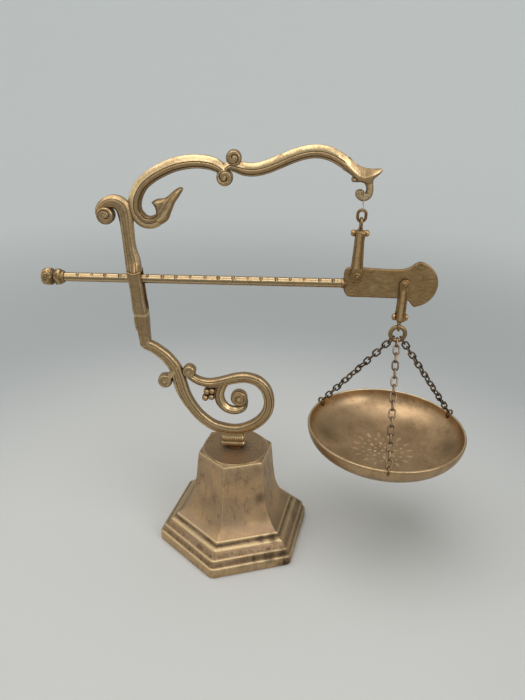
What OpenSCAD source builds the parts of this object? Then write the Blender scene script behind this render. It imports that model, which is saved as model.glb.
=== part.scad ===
// Brass weighing scale: a six-sided pedestal, a scrolled stand, a notched beam that runs
// through a slot in the column, and a round pan on three chains.
// Millimetres. X runs along the beam towards the pan, Y away from the viewer, Z up.
// The origin is the centre of the pedestal's underside.

/* [Pedestal] */
// Radius over the corners of the pedestal's bottom slab
base_r = 75; // [74:0.5:76]
// Turn of the pedestal's corners from the beam line, degrees
base_turn = 18; // [0:1:30]
// Thickness of the pedestal's cast wall
base_wall = 4; // [3:0.5:5]
// Thickness of the felt pad let into the underside
pad_t = 2; // [1:0.5:3]
// Radius of the stud that holds the stand
stud_r = 3; // [2.5:0.1:3.5]

/* [Stand] */
// Thickness of the scrolled castings, front to back
scroll_t = 9; // [8:0.5:10]
// Thickness of the hook arm, front to back
arm_t = 8; // [7:0.5:9]
// Thickness of the hook itself, front to back
hook_t = 6.6; // [6:0.1:6.6]
// Thickness of the slotted part of the column, front to back
cheek_t = 16.5; // [15:0.5:18]
// Width of the slot that guides the beam
slot_w = 8.6; // [8.4:0.1:9.4]
// Height of the slot's lower end
slot_low = 232; // [230:0.5:234]
// Height of the slot's upper end
slot_high = 263; // [263:0.5:265]

/* [Beam] */
// Beam bar across its flats
bar_flats = 7.2; // [6.8:0.1:7.4]
// Rise of the bar towards the pan, degrees
bar_slope = 0.9; // [0.8:0.1:1]
// Number of notches along the top of the bar
notch_count = 19; // [10:1:20]
// Thickness of the beam's flat plate
plate_t = 3.3; // [3:0.1:3.4]
// Radius of the upper pin
upper_pin_r = 2; // [1.8:0.1:2.2]
// Radius of the lower pin
lower_pin_r = 1.8; // [1.6:0.1:2]

/* [Pan] */
// Outer radius of the pan's rim
pan_r = 71.8; // [70:0.2:72]
// Outer depth of the pan
pan_depth = 29; // [26:0.5:30]
// Thickness of the pan's sheet
pan_sheet = 2; // [1.8:0.1:2.2]

/* [Chains] */
// Diameter of the chain's wire
chain_wire = 1.3; // [1.2:0.1:1.4]
// Links in each chain
link_count = 16; // [16:2:16]
// Length of a link's opening
link_gap = 7.1; // [7.1:0.1:7.2]
// Width of a link's opening
link_width = 3.6; // [3.6:0.1:3.8]

/* [Hidden] */
$fn = 48;
run_fit = 0.05;

// heights of the pedestal and of what stands on it
base_top = 96;
neck_h = 3;
foot_low = base_top + neck_h;
joint_z = 229;

// suspension points in the plane of the stand
hang_x = 98.5;
hook_z = 335.5;
loop_wire = 0.7;
loop_top = hook_z + 0.35 + loop_wire / 2;
upper_pin_z = 268.5;
pan_x = 138.5;
lower_pin_z = 262.8;
leg_t = 2.2;
leg_gap = plate_t / 2 + 0.35;
head_gap = 0.3;

// the beam's bar
bar_left = -146.5;
bar_right = 88.3;
bar_left_z = 257.6;

// the ring that gathers the chains, and the pan
ring_r = 6.25;
ring_wire = 3.3;
ring_z = 217.8;
rim_z = 125.5;
pan_power = 2.35;
rim_hook_r = 3.3;
rim_hook_wire = 1.4;
hook_centre_r = pan_r - pan_sheet / 2;
hook_centre_z = rim_z - 0.2;

brass = [0.60, 0.48, 0.31];
light_brass = [0.70, 0.57, 0.36];
dark_brass = [0.36, 0.28, 0.18];
felt_green = [0.16, 0.24, 0.18];

// centre lines of the cast scrolls: [x, z, width]
stem_line = [
    [-81, 199, 9], [-73, 195.5, 9.5], [-63.5, 188.3, 10], [-58.3, 182, 10.5], [-54.5, 176, 11],
    [-52, 168, 11.5], [-49.7, 158, 12], [-46.5, 149, 11], [-41.2, 139, 10], [-33, 128, 9.5],
    [-22, 119, 9.5], [-11, 115.3, 9.5], [0, 114.3, 9.5], [9, 116.5, 9.5], [18, 121.5, 9.5],
    [25.5, 129, 9.5], [29.6, 138, 9.5], [30.2, 148, 9.5], [27, 158.5, 9.5], [20, 166, 9.3],
    [11, 169.2, 9], [2, 168.8, 9], [-8, 166, 8.5], [-18, 163.2, 8], [-26, 162.5, 7.5],
    [-34, 164.5, 7], [-41, 169, 6.5]];
column_foot_line = [
    [-80, 199, 10], [-80.4, 206, 10.5], [-80.9, 213, 11], [-81.5, 221, 11.5], [-82.5, joint_z, 11.5]];
left_curl_line = [[-53.5, 177, 6], [-56.5, 170.5, 6], [-61, 166, 5.5]];
inner_curl_line = [
    [-11, 164, 9], [-14, 157, 9], [-15.2, 150, 9], [-13, 142.5, 8.5], [-7.5, 137, 7.5],
    [0, 135.6, 7], [6, 138.5, 6.5], [9.5, 144, 6], [9, 151, 5.5]];
column_line = [
    [-82.5, joint_z, 11.5], [-83.2, 240, 10.5], [-84.2, 251, 10], [-85.6, 263, 11.5],
    [-86.8, 275, 12], [-88.4, 286, 10], [-89.2, 300, 10.2], [-90, 311, 11.5],
    [-92, 318.5, 12], [-97.5, 322.3, 10.5], [-104, 321, 9.5], [-108.5, 316.5, 8]];
arch_line = [
    [-60, 312, 9], [-65, 308, 9.5], [-70.5, 306.3, 10], [-76.5, 308, 10.5], [-81.5, 315, 10.5],
    [-81.3, 324.5, 10.5], [-76.5, 334.5, 10.5], [-69, 341.5, 10.5], [-60, 347, 10.5],
    [-50, 351.5, 10.5], [-40, 354, 10.5], [-30, 354.8, 10.2], [-20, 353.6, 10], [-11.5, 349.5, 9]];
arm_line = [
    [-2, 352.5, 9], [6, 350.2, 10], [14, 350.2, 10], [23, 352.6, 10], [33, 356.8, 10],
    [43, 361.2, 10], [53, 364.2, 10], [62, 364.9, 10], [71, 363.2, 10], [80, 358.8, 9.7],
    [88, 352.5, 9.2], [93.5, 348.2, 8.5]];

// volutes at the ends of the scrolls: [x, z, radius]
scroll_volutes = [[-42, 174, 6], [-64, 163.5, 6.5], [3, 148.5, 7.5]];
berries = [[-26.5, 154], [-21.6, 154.8], [-28, 147.7], [-22.4, 148.8]];
berry_r = 3;

// a point between two of a line's points, and the smooth line through all of them
function between(a, b, c, d, t) =
    0.5 * (2 * b + (c - a) * t + (2 * a - 5 * b + 4 * c - d) * t * t + (3 * b - a - 3 * c + d) * t * t * t);
function smooth(line, steps) = [
    for (i = [0 : len(line) - 2])
        for (j = [0 : steps - 1])
            between(line[max(i - 1, 0)], line[i], line[i + 1], line[min(i + 2, len(line) - 1)], j / steps),
    line[len(line) - 1]];
function along(line, i) = let(
    a = line[max(i - 1, 0)],
    b = line[min(i + 1, len(line) - 1)],
    d = [b[0] - a[0], b[1] - a[1]]) d / norm(d);
function side(line, i, s) = let(d = along(line, i))
    [line[i][0] - s * d[1] * line[i][2] / 2, line[i][1] + s * d[0] * line[i][2] / 2];

// flat outline of a band along a centre line
module band(line, steps = 3) {
    fine = smooth(line, steps);
    last = len(fine) - 1;
    polygon(concat([for (i = [0 : last]) side(fine, i, 1)], [for (i = [last : -1 : 0]) side(fine, i, -1)]));
}

// stands a flat outline up in the plane of the stand
module upright(t) rotate([90, 0, 0]) linear_extrude(height = t, center = true) children();

module cross_cylinder(x, z, r, length)
    translate([x, 0, z]) rotate([90, 0, 0]) cylinder(h = length, r = r, center = true);

// ---- pedestal ----

// outer profile of the pedestal: radius over corners against height, with coves between the steps
function cove(a, b, sag, n = 5) = [
    for (i = [0 : n])
        let(t = i / n, bow = 4 * sag * t * (1 - t), d = (b - a) / norm(b - a))
            a + (b - a) * t + bow * [-d[1], d[0]]];
function pedestal_profile(r) = concat(
    [[r - 0.8, 0], [r, 0.8], [r, 8.6], [r - 1, 9.8]],
    cove([r - 2.2, 10.2], [r - 4, 16], 0.8, 3),
    cove([r - 5.6, 17], [r - 12, 22.2], 0.9, 3),
    cove([r - 13.4, 23.2], [r - 17.2, 27.8], 0.8, 3),
    cove([r - 19.2, 28.8], [r - 37, 72], 5, 8),
    [[r - 40, base_top]]);

module six_sided(points) rotate([0, 0, base_turn]) rotate_extrude($fn = 6) polygon(points);

module base_casting() {
    outer = pedestal_profile(base_r);
    inside = base_r - base_wall;
    cavity = [[0, -1], [inside - 4, -1], [inside - 4, 8], [inside - 11, 16], [inside - 17, 24],
              [inside - 26, 36], [inside - 33, 50], [inside - 37, 70], [inside - 39, base_top - 8],
              [0, base_top - 8]];
    color(brass) difference() {
        intersection() {
            six_sided(concat([[0, 0]], outer, [[0, base_top]]));
            // the crown's corners are turned down like those of a nut
            translate([0, 0, -1]) rotate_extrude() polygon([[0, 0], [90, 0], [90, 40], [41, 88],
                [34, base_top - 3], [30, base_top + 1], [0, base_top + 1]]);
        }
        six_sided(cavity);
        translate([0, 0, base_top - 10]) cylinder(h = 12, r = stud_r + 0.2);
    }
}

module base_pad() {
    color(felt_green) rotate([0, 0, base_turn]) cylinder(h = pad_t, r = base_r - 8, $fn = 6);
}

module foot_stud() {
    color(dark_brass) translate([0, 0, base_top - 17]) cylinder(h = 27, r = stud_r);
}

module stud_washer() {
    color(light_brass) translate([0, 0, base_top - 9.6]) difference() {
        cylinder(h = 1.6, r = 8);
        translate([0, 0, -1]) cylinder(h = 4, r = stud_r + 0.2);
    }
}

module stud_nut() {
    color(dark_brass) translate([0, 0, base_top - 14.6]) difference() {
        cylinder(h = 5, r = 5.8, $fn = 6);
        translate([0, 0, -1]) cylinder(h = 7, r = stud_r + run_fit);
    }
}

module neck_washer() {
    color(dark_brass) translate([0, 0, base_top]) difference() {
        cylinder(h = neck_h, r = 6.5);
        translate([0, 0, -1]) cylinder(h = neck_h + 2, r = stud_r + 0.2);
    }
}

// ---- stand ----

module lower_scroll() {
    color(brass) difference() {
        union() {
            upright(scroll_t) {
                band(stem_line);
                band(column_foot_line);
                translate([-80, 199.5]) circle(r = 5);
                band(left_curl_line);
                band(inner_curl_line);
                for (v = scroll_volutes) translate([v[0], v[1]]) circle(r = v[2]);
            }
            // reeded foot block
            translate([-12.5, -5, foot_low]) cube([21, 10, 13]);
            // beaded collar under the joint
            upright(13) polygon([[-87.5, 214], [-75.2, 214], [-75.6, 226], [-76.2, joint_z], [-88.2, joint_z],
                [-88, 226]]);
            for (b = berries) translate([b[0], 0, b[1]]) sphere(r = berry_r, $fn = 24);
        }
        translate([0, 0, foot_low - 1]) cylinder(h = 8.5, r = stud_r + run_fit);
        translate([-82.5, 0, joint_z - 8]) cylinder(h = 10, r = 2.5 + run_fit);
        translate([-100, -10, joint_z]) cube([30, 20, 10]);
    }
}

module column_dowel() {
    color(dark_brass) translate([-82.5, 0, joint_z - 7.5]) cylinder(h = 10, r = 2.5);
}

module column_outline() {
    band(column_line);
    translate([-106, 311]) circle(r = 7.3);
    band(arch_line);
    translate([-10, 343.5]) circle(r = 6.5);
    polygon([[-60, 304], [-56, 308.5], [-53, 315], [-50, 322], [-47, 327], [-43.5, 333.5], [-48, 333.5],
             [-52, 331], [-58, 325.5], [-65, 324], [-68, 322], [-65, 317], [-65, 311]]);
}

module column_arch() {
    color(brass) difference() {
        union() {
            upright(scroll_t) column_outline();
            // cheeks on both sides of the slot
            upright(cheek_t) polygon([[-88.2, joint_z], [-76.8, joint_z], [-78, 240], [-79, 251], [-79.8, 262],
                [-80.5, 271], [-92.6, 271], [-91.4, 262], [-89.4, 251], [-88.6, 240]]);
        }
        translate([-100, -slot_w / 2, slot_low]) cube([30, slot_w, slot_high - slot_low]);
        translate([-82.5, 0, joint_z - 1]) cylinder(h = 3.6, r = 2.5 + run_fit);
        translate([-100, -10, joint_z - 10]) cube([30, 20, 10]);
        cross_cylinder(-11, 343.5, 2, 20);
    }
}

module arm_dowel() {
    color(dark_brass) cross_cylinder(-11, 343.5, 2, scroll_t);
}

module hook_arm() {
    color(brass) {
        upright(arm_t) difference() {
            union() {
                band(arm_line);
                translate([-3, 358.5]) circle(r = 6);
                polygon([[86, 358], [97, 353.5], [103.5, 353], [110, 352], [106, 347.5], [104, 345.5],
                         [97.5, 343.2], [93, 343.5], [88.5, 344], [89, 349]]);
            }
            column_outline();
        }
        upright(hook_t) polygon([[97, 348], [104, 345.6], [104, 343], [104.8, 339], [105.5, 335], [104.5, 332],
            [102, 330], [99, 329], [96, 330], [93.5, 333], [93, 336], [94.8, 338.5], [96.6, 336.5],
            [98.5, 335.5], [100.3, 336.3], [101.2, 338.5], [100.5, 341], [97.5, 343.1]]);
    }
}

// ---- hanger ----

// round wire from one point to another in the plane across the beam: points are [y, z]
module rod(a, b, wire) {
    d = b - a;
    past = wire * 0.4;
    translate([0, a[0], a[1]]) rotate([-atan2(d[0], d[1]), 0, 0])
        translate([0, 0, -past]) cylinder(h = norm(d) + 2 * past, r = wire / 2, $fn = 24);
}

module wire_loop() {
    y = hook_t / 2 + 0.45 + loop_wire / 2;
    low = 320.45;
    corners = [[-y, loop_top], [y, loop_top], [y, 328], [0.8, low], [-0.8, low], [-y, 328]];
    color(light_brass) translate([hang_x, 0, 0])
        for (i = [0 : 5]) rod(corners[i], corners[(i + 1) % 6], loop_wire);
}

// ring of round wire, standing in the plane of the stand
module wire_ring(r, wire) rotate([90, 0, 0]) rotate_extrude() translate([r, 0]) circle(r = wire / 2, $fn = 24);

// oval link of round wire with its long way along Z, in the plane of the stand
module oval_link(gap_l, gap_w, wire) {
    r = (gap_w + wire) / 2;
    half = (gap_l - gap_w) / 2;
    for (s = [-1, 1]) {
        translate([0, 0, s * half]) rotate([90, 0, 0]) rotate([0, 0, s > 0 ? 0 : 180])
            rotate_extrude(angle = 180) translate([r, 0]) circle(r = wire / 2, $fn = 24);
        translate([s * r, 0, -half]) cylinder(h = 2 * half, r = wire / 2, $fn = 24);
    }
}

module top_link() {
    color(dark_brass) translate([hang_x, 0, 317.5]) oval_link(6.9, 4.4, 1.8);
}

module upper_eye() {
    color(brass) translate([hang_x, 0, 0]) {
        translate([0, 0, 311.75]) rotate([0, 0, 90]) wire_ring(3.4, 1.6);
        translate([0, 0, 300.5]) cylinder(h = 8, r = 1.5);
        translate([0, 0, 299.3]) cylinder(h = 1.9, r = 1.8);
    }
}

// stirrup with two legs, a turned crossbar and round bosses at the pin
module shackle(bar_low, bar_high, pin_z, pin_r, top_half, low_half, boss_r, bar_half) {
    mid = (bar_low + bar_high) / 2;
    r = (bar_high - bar_low) / 2;
    step = pin_z > mid ? 1 : -1;
    for (s = [-1, 1]) {
        translate([0, s * (leg_gap + leg_t / 2), 0]) upright(leg_t) difference() {
            union() {
                polygon([[-top_half, mid], [top_half, mid], [low_half, pin_z - step * 4], [low_half, pin_z],
                         [-low_half, pin_z], [-low_half, pin_z - step * 4]]);
                translate([0, pin_z]) circle(r = boss_r);
            }
            translate([0, pin_z]) circle(r = pin_r + run_fit);
        }
        translate([s * (bar_half - r), 0, mid]) sphere(r = r);
    }
    translate([0, 0, mid]) rotate([0, 90, 0]) cylinder(h = 2 * (bar_half - r), r = r - 0.2, center = true);
    translate([0, 0, mid]) cube([2 * top_half, 2 * (leg_gap + leg_t), 2 * r], center = true);
}

module upper_shackle() {
    color(brass) difference() {
        translate([hang_x, 0, 0]) shackle(301.2, 305.8, upper_pin_z, upper_pin_r, 3.5, 4.7, 5.2, 7);
        translate([hang_x, 0, 300]) cylinder(h = 8, r = 1.5 + run_fit);
    }
}

module headed_pin(x, z, r, head_r) {
    out = leg_gap + leg_t + head_gap;
    cross_cylinder(x, z, r, 2 * out + 1);
    for (s = [-1, 1])
        translate([x, s * (out + 0.6), z]) rotate([90, 0, 0]) cylinder(h = 1.2, r = head_r, center = true);
}

module upper_pin() color(light_brass) headed_pin(hang_x, upper_pin_z, upper_pin_r, 3.5);

// ---- beam ----

module beam_bar() {
    length = (bar_right - bar_left) / cos(bar_slope);
    pitch = 11.9;
    color(brass) intersection() {
        translate([bar_left, 0, bar_left_z]) rotate([0, -bar_slope, 0]) difference() {
            union() {
                rotate([0, 90, 0]) rotate([0, 0, 22.5])
                    cylinder(h = length + 4, r = bar_flats / 2 / cos(22.5), $fn = 8);
                translate([-7, 0, 0]) rotate([0, 90, 0]) cylinder(h = 8, r = 2.4);
            }
            for (i = [0 : notch_count - 1])
                translate([12.5 + i * pitch, 0, bar_flats / 2 + 0.9]) rotate([90, 0, 0])
                    cylinder(h = bar_flats + 2, r = 1.9, center = true, $fn = 24);
        }
        translate([-160, -10, 240]) cube([bar_right + 160, 20, 40]);
    }
}

module beam_plate() {
    fan = [for (a = [80 : -8 : -80]) [146.5, 262.5] + 19.5 * [cos(a), sin(a)]];
    shank_top = [[bar_right, 270], [89.6, 273.4], [92.5, 275], [98, 275.4], [120, 274.6], [134, 274.6],
                 [141, 275.6], [145, 277]];
    shank_low = [[147.5, 244.4], [143.8, 248.3], [137, 250], [95, 250], [90.5, 252.6], [bar_right, 257.4]];
    color(dark_brass) upright(plate_t) difference() {
        polygon(concat(shank_top, fan, shank_low));
        translate([hang_x, upper_pin_z]) circle(r = upper_pin_r + run_fit);
        translate([pan_x, lower_pin_z]) circle(r = lower_pin_r + run_fit);
    }
}

module beam_knob() {
    color(light_brass) translate([bar_left, 0, bar_left_z]) rotate([0, -bar_slope, 0]) rotate([0, -90, 0])
        difference() {
            rotate_extrude() polygon([[0, 0], [5.4, 0], [6.6, 1.2], [7, 3.5], [6.8, 6], [6.3, 7.6], [6.6, 8.4],
                [7.3, 9.6], [7.6, 12.2], [7.3, 15], [6.2, 17], [4.2, 18], [0, 18]]);
            translate([0, 0, -1]) cylinder(h = 8.2, r = 2.4 + run_fit);
        }
}

// ---- lower shackle, eye and ring ----

module lower_pin() color(light_brass) headed_pin(pan_x, lower_pin_z, lower_pin_r, 2.8);

module lower_shackle() {
    color(brass) difference() {
        translate([pan_x, 0, 0]) shackle(230.3, 235.9, lower_pin_z, lower_pin_r, 4.2, 4.3, 4.4, 6.8);
        translate([pan_x, 0, 228]) cylinder(h = 10, r = 1.1 + run_fit);
    }
}

module lower_eye() {
    eye_z = ring_z + ring_r;
    color(brass) translate([pan_x, 0, 0]) {
        translate([0, 0, eye_z]) rotate([0, 0, 90]) wire_ring(2.85, 1.5);
        translate([0, 0, eye_z + 2.6]) cylinder(h = 3.35, r = 1.5);
        translate([0, 0, eye_z + 4]) cylinder(h = 9.8, r = 1.1);
        translate([0, 0, 236.2]) cylinder(h = 1.7, r = 1.7);
    }
}

module pan_ring() color(light_brass) translate([pan_x, 0, ring_z]) wire_ring(ring_r, ring_wire);

// ---- chains ----

// each chain: [direction of its rim hook round the pan, its place round the ring from the bottom]
chain_left_at = [143.8, -40];
chain_right_at = [23.8, 40];
chain_front_at = [263.8, 0];

function radial(at) = [cos(at[0]), sin(at[0]), 0];
function chain_top(at) = [pan_x + ring_r * sin(at[1]), 0, ring_z - ring_r * cos(at[1])];
function hook_centre(at) = [pan_x, 0, hook_centre_z] + hook_centre_r * radial(at);
function chain_end(at) = let(d = chain_top(at) - hook_centre(at)) hook_centre(at) + rim_hook_r * d / norm(d);

module chain(at) {
    a = chain_top(at);
    b = chain_end(at);
    d = b - a;
    run = norm(d);
    turn = atan2(d[1], d[0]);
    lean = atan2(norm([d[0], d[1]]), -d[2]);
    // the first link's plane stands square to the ring's wire, the last one's square to the rim hook
    wire_way = [cos(at[1]), 0, sin(at[1])];
    across = [-sin(turn), cos(turn), 0];
    outward = [cos(turn) * cos(lean), sin(turn) * cos(lean), sin(lean)];
    raw = atan2(wire_way * outward, wire_way * across);
    roll = raw > 90 ? 180 - raw : -raw;
    first = link_gap / 2 - ring_wire / 2 - 0.2;
    last = link_gap / 2 - rim_hook_wire / 2 - 0.15;
    pitch = (run - first - last) / (link_count - 1);
    color(dark_brass) translate(a) rotate([0, 0, turn]) rotate([0, -lean, 0])
        for (i = [0 : link_count - 1])
            translate([0, 0, -first - i * pitch]) rotate([0, 0, roll * (1 - i / (link_count - 1)) + 90 * i])
                oval_link(link_gap, link_width, chain_wire);
}

module chain_left() chain(chain_left_at);
module chain_right() chain(chain_right_at);
module chain_front() chain(chain_front_at);

module rim_hook(at) {
    color(dark_brass) translate(hook_centre(at)) rotate([0, 0, at[0]]) wire_ring(rim_hook_r, rim_hook_wire);
}
module rim_hook_left() rim_hook(chain_left_at);
module rim_hook_right() rim_hook(chain_right_at);
module rim_hook_front() rim_hook(chain_front_at);

// ---- pan ----

// bowl curve from the rim down to the axis: flat in the floor and steep at the rim
function bowl(r, depth, n) = [
    for (i = [0 : n])
        let(a = 90 * i / n) [r * pow(cos(a), 2 / pan_power), rim_z - depth * pow(sin(a), 2 / pan_power)]];

module pan() {
    steps = 18;
    outer = bowl(pan_r, pan_depth, steps);
    inner = bowl(pan_r - pan_sheet, pan_depth - pan_sheet, steps);
    color(light_brass) difference() {
        translate([pan_x, 0, 0]) rotate_extrude($fn = 96)
            polygon(concat(outer, [for (i = [steps : -1 : 0]) inner[i]]));
        for (at = [chain_left_at, chain_right_at, chain_front_at])
            translate([pan_x, 0, hook_centre_z - rim_hook_r]) rotate([0, 0, at[0]]) rotate([0, 90, 0])
                translate([0, 0, pan_r - 5]) cylinder(h = 10, r = 1.2, $fn = 24);
    }
}

base_casting();
base_pad();
foot_stud();
stud_washer();
stud_nut();
neck_washer();
lower_scroll();
column_dowel();
column_arch();
arm_dowel();
hook_arm();
wire_loop();
top_link();
upper_eye();
upper_shackle();
upper_pin();
beam_bar();
beam_plate();
beam_knob();
lower_pin();
lower_shackle();
lower_eye();
pan_ring();
chain_left();
chain_right();
chain_front();
rim_hook_left();
rim_hook_right();
rim_hook_front();
pan();
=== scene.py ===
import math
import random

import bpy
import numpy as np
from mathutils import Matrix, Vector
from mathutils.geometry import delaunay_2d_cdt


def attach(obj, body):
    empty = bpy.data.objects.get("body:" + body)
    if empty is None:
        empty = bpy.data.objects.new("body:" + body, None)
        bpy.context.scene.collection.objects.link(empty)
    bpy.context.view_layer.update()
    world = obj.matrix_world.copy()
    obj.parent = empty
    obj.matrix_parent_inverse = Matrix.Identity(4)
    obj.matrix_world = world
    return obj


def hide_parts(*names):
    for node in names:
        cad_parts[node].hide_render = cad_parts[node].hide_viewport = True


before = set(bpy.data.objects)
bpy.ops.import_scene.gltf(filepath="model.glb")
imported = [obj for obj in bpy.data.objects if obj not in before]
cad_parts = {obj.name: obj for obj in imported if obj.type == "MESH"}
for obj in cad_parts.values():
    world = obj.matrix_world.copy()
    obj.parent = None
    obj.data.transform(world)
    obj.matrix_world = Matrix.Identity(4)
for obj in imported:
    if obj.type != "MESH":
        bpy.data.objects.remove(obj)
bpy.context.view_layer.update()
scene = bpy.context.scene
mm = 0.001
fullTurn = 2 * math.pi
print("stage: frame loaded,", len(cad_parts), "nodes")


# sRGB hex to linear
def linear(hexColour):
    parts = [int(hexColour[i:i + 2], 16) / 255 for i in (0, 2, 4)]
    return tuple(c / 12.92 if c <= 0.04045 else ((c + 0.055) / 1.055) ** 2.4 for c in parts) + (1.0,)


def newSurface(name):
    material = bpy.data.materials.new(name)
    material.use_nodes = True
    material.node_tree.nodes.clear()
    return material, material.node_tree


# adds one node with its settings and links, and gives back one of its outputs
def put(tree, kind, inputs, output=0, **settings):
    node = tree.nodes.new("ShaderNode" + kind)
    for key, value in settings.items():
        setattr(node, key, value)
    for key, value in inputs.items():
        if isinstance(value, bpy.types.NodeSocket):
            tree.links.new(value, node.inputs[key])
        else:
            node.inputs[key].default_value = value
    return node.outputs[output] if node.outputs else node


# settings that many nodes share
eased = {"interpolation_type": "SMOOTHSTEP"}
times = {"operation": "MULTIPLY"}
timesPlus = {"operation": "MULTIPLY_ADD"}
most = {"operation": "MAXIMUM"}
colours = {"data_type": "RGBA", "output": 2}


# aged brass: dark in hollows and corners, partly tarnish and partly painted shade from occlusion; bright on ridges
# and edges, partly rubbed and partly painted highlight; clouded, flecked and uneven between
def brass(name, look):
    material, tree = newSurface(name)
    get = look.get
    coords = put(tree, "TexCoord", {}, "Object")

    # patterns: size in mm, detail, roughness, stretch. Sand grit of about .2 mm is too fine to show, so grain is
    # drawn three to four times coarser
    patterns = {"cloud": (get("mottle", 14), 6, 0.6, None), "grain": (get("grain", 0.7), 6, 0.65, None),
                "fleck": (get("fleck", 1.6), 4, 0.7, get("fleckStretch")),
                "blotch": (get("blotch", 5), 7, 0.72, get("blotchStretch")),
                "uneven": (get("uneven", 4.5), 2, 0.5, None)}
    if "scratch" in look:
        patterns["scratch"] = (0.9, 3, 0.8, look["scratch"])
    field = {}
    for key, (size, detail, roughness, stretch) in patterns.items():
        place = put(tree, "Mapping", {"Vector": coords, "Scale": stretch}) if stretch else coords
        field[key] = put(tree, "TexNoise", {"Vector": place, "Scale": 1000 / size, "Detail": detail,
                                            "Roughness": roughness}, "Fac")

    # wear and painted light level: painted rub with its painted highlight and shade, sharp edges rubbed and painted
    # as highlight, flecks and clouds, and painted shade in corners from occlusion
    rub = put(tree, "Attribute", {}, "Fac", attribute_name="rub") if get("rub", True) else 0.5
    edge = put(tree, "NewGeometry", {}, "Pointiness")
    # ambient occlusion darkens the colour in corners, creases and under parts: painted shade
    occlusionShade = put(tree, "AmbientOcclusion", {"Distance": get("corner", 3.5) * mm}, "AO", only_local=True, samples=6)
    occlusionShade = put(tree, "MapRange", {0: occlusionShade, 1: 0.9, 2: 0.35}, **eased)
    parts = ((edge, get("edge", 2.5), 0.5), (field["fleck"], get("fleckAmount", 0.7), 0.5),
             (field["cloud"], 0.5, 0.5), (occlusionShade, get("cornerAmount", -0.45), 0))
    level = rub
    for part, weight, middle in parts:
        level = put(tree, "Math", {0: part, 1: weight, 2: level}, **timesPlus)
    shift = sum(weight * middle for part, weight, middle in parts)
    # high level paints the light colour: rubbed wear and painted highlight
    wornAndPaintedLight = put(tree, "MapRange", {0: level, 1: 0.52 + shift, 2: 0.95 + shift}, **eased)
    # low level paints the dark colour: grime, and painted shade in hollows and corners
    grimeAndShade = put(tree, "MapRange", {0: level, 1: 0.38 + shift, 2: 0.02 + shift}, **eased)

    # tarnish and painted shade: blotches, soot stains and painted shade at chosen places (centre in mm, reach in mm,
    # strength), painted shade on upward faces
    stain = put(tree,
                "MapRange", {0: field["blotch"], 1: get("stainFrom", 0.53), 2: 0.68, 4: get("stain", 0.5)}, **eased)
    # each spot paints the colour darker near its centre: soot stains, and on the shadow side painted shade
    for centre, reach, strength in get("soot", ()):
        away = put(tree, "VectorMath", {0: coords, 1: Vector(centre) * mm}, "Value", operation="DISTANCE")
        near = put(tree, "MapRange", {0: away, 1: reach * mm, 2: 0}, **eased)
        patchy = put(tree, "MapRange", {0: field["blotch"], 1: 0.3, 2: 0.6, 3: 0.5 * strength, 4: strength}, **eased)
        spot = put(tree, "Math", {0: near, 1: patchy}, **times)
        stain = put(tree, "Math", {0: stain, 1: spot}, **most)
    # upward faces are painted darker: painted shade on top
    if "upwardShade" in look:
        upward = put(tree, "SeparateXYZ", {0: put(tree, "NewGeometry", {}, "Normal")}, "Z")
        upward = put(tree, "MapRange", {0: upward, 1: 0.25, 2: 0.8, 4: look["upwardShade"]}, **eased)
        stain = put(tree, "Math", {0: stain, 1: upward}, **most)

    tinted = put(tree, "MapRange", {0: field["cloud"], 1: 0.36, 2: 0.62}, **eased)
    colour = put(tree, "Mix", {0: tinted, 6: linear(look["body"]), 7: linear(look["tint"])}, **colours)
    shine = put(tree, "Math", {0: wornAndPaintedLight, 1: get("wornAmount", 0.8)}, **times)
    dirtAndShade = put(tree, "Math", {0: grimeAndShade, 1: 0.9}, **times)
    for factor, shade in ((shine, "light"), (stain, "dark"), (dirtAndShade, "dark")):
        colour = put(tree, "Mix", {0: factor, 6: colour, 7: linear(look[shade])}, **colours)
    speckle = get("speckle", 0.9)
    value = put(tree, "Math", {0: field["grain"], 1: speckle, 2: 1 - speckle / 2}, **timesPlus)
    colour = put(tree, "HueSaturation", {"Value": value, "Color": colour})

    rough = put(tree, "Math", {0: field["blotch"], 1: 0.3, 2: look["rough"] - 0.15}, **timesPlus)
    rough = put(tree, "Math", {0: wornAndPaintedLight, 1: -0.1, 2: rough}, **timesPlus)
    rough = put(tree, "Math", {0: put(tree, "Math", {0: grimeAndShade, 1: stain}, **most), 1: 0.22, 2: rough}, **timesPlus)
    metal = put(tree, "Math", {0: grimeAndShade, 1: -0.45, 2: 1.0}, **timesPlus)

    # relief: strength, depth in mm, height; each lies on the one before
    pitted = put(tree, "Math", {0: field["blotch"], 1: 0.6, 2: field["grain"]}, **timesPlus)
    relief = [(get("unevenBump", 0.35), 0.5, field["uneven"]), (get("bump", 0.4), get("bumpDepth", 0.12), pitted)]
    if "scratch" in look:
        relief.append((0.35, 0.05, field["scratch"]))
    under = {}
    for strength, depth, height in relief:
        under = {"Normal": put(tree, "Bump", {"Strength": strength, "Distance": depth * mm,
                                              "Height": height, **under})}
    shader = put(tree, "BsdfPrincipled", {"Base Color": colour, "Metallic": metal, "Roughness": rough, **under})
    put(tree, "OutputMaterial", {"Surface": shader})
    return material


# sand-cast brass, rubbed by hand: yellow ridges over brown hollows, the brown partly tarnish and partly painted
# shade, softly pitted
castBrass = brass("cast_brass_hand_rubbed", {
    "dark": "3a2c1a", "body": "a98a62", "tint": "998060", "light": "dac092", "rough": 0.4,
    "mottle": 16, "grain": 0.8, "blotch": 6, "stain": 0.35})
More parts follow.
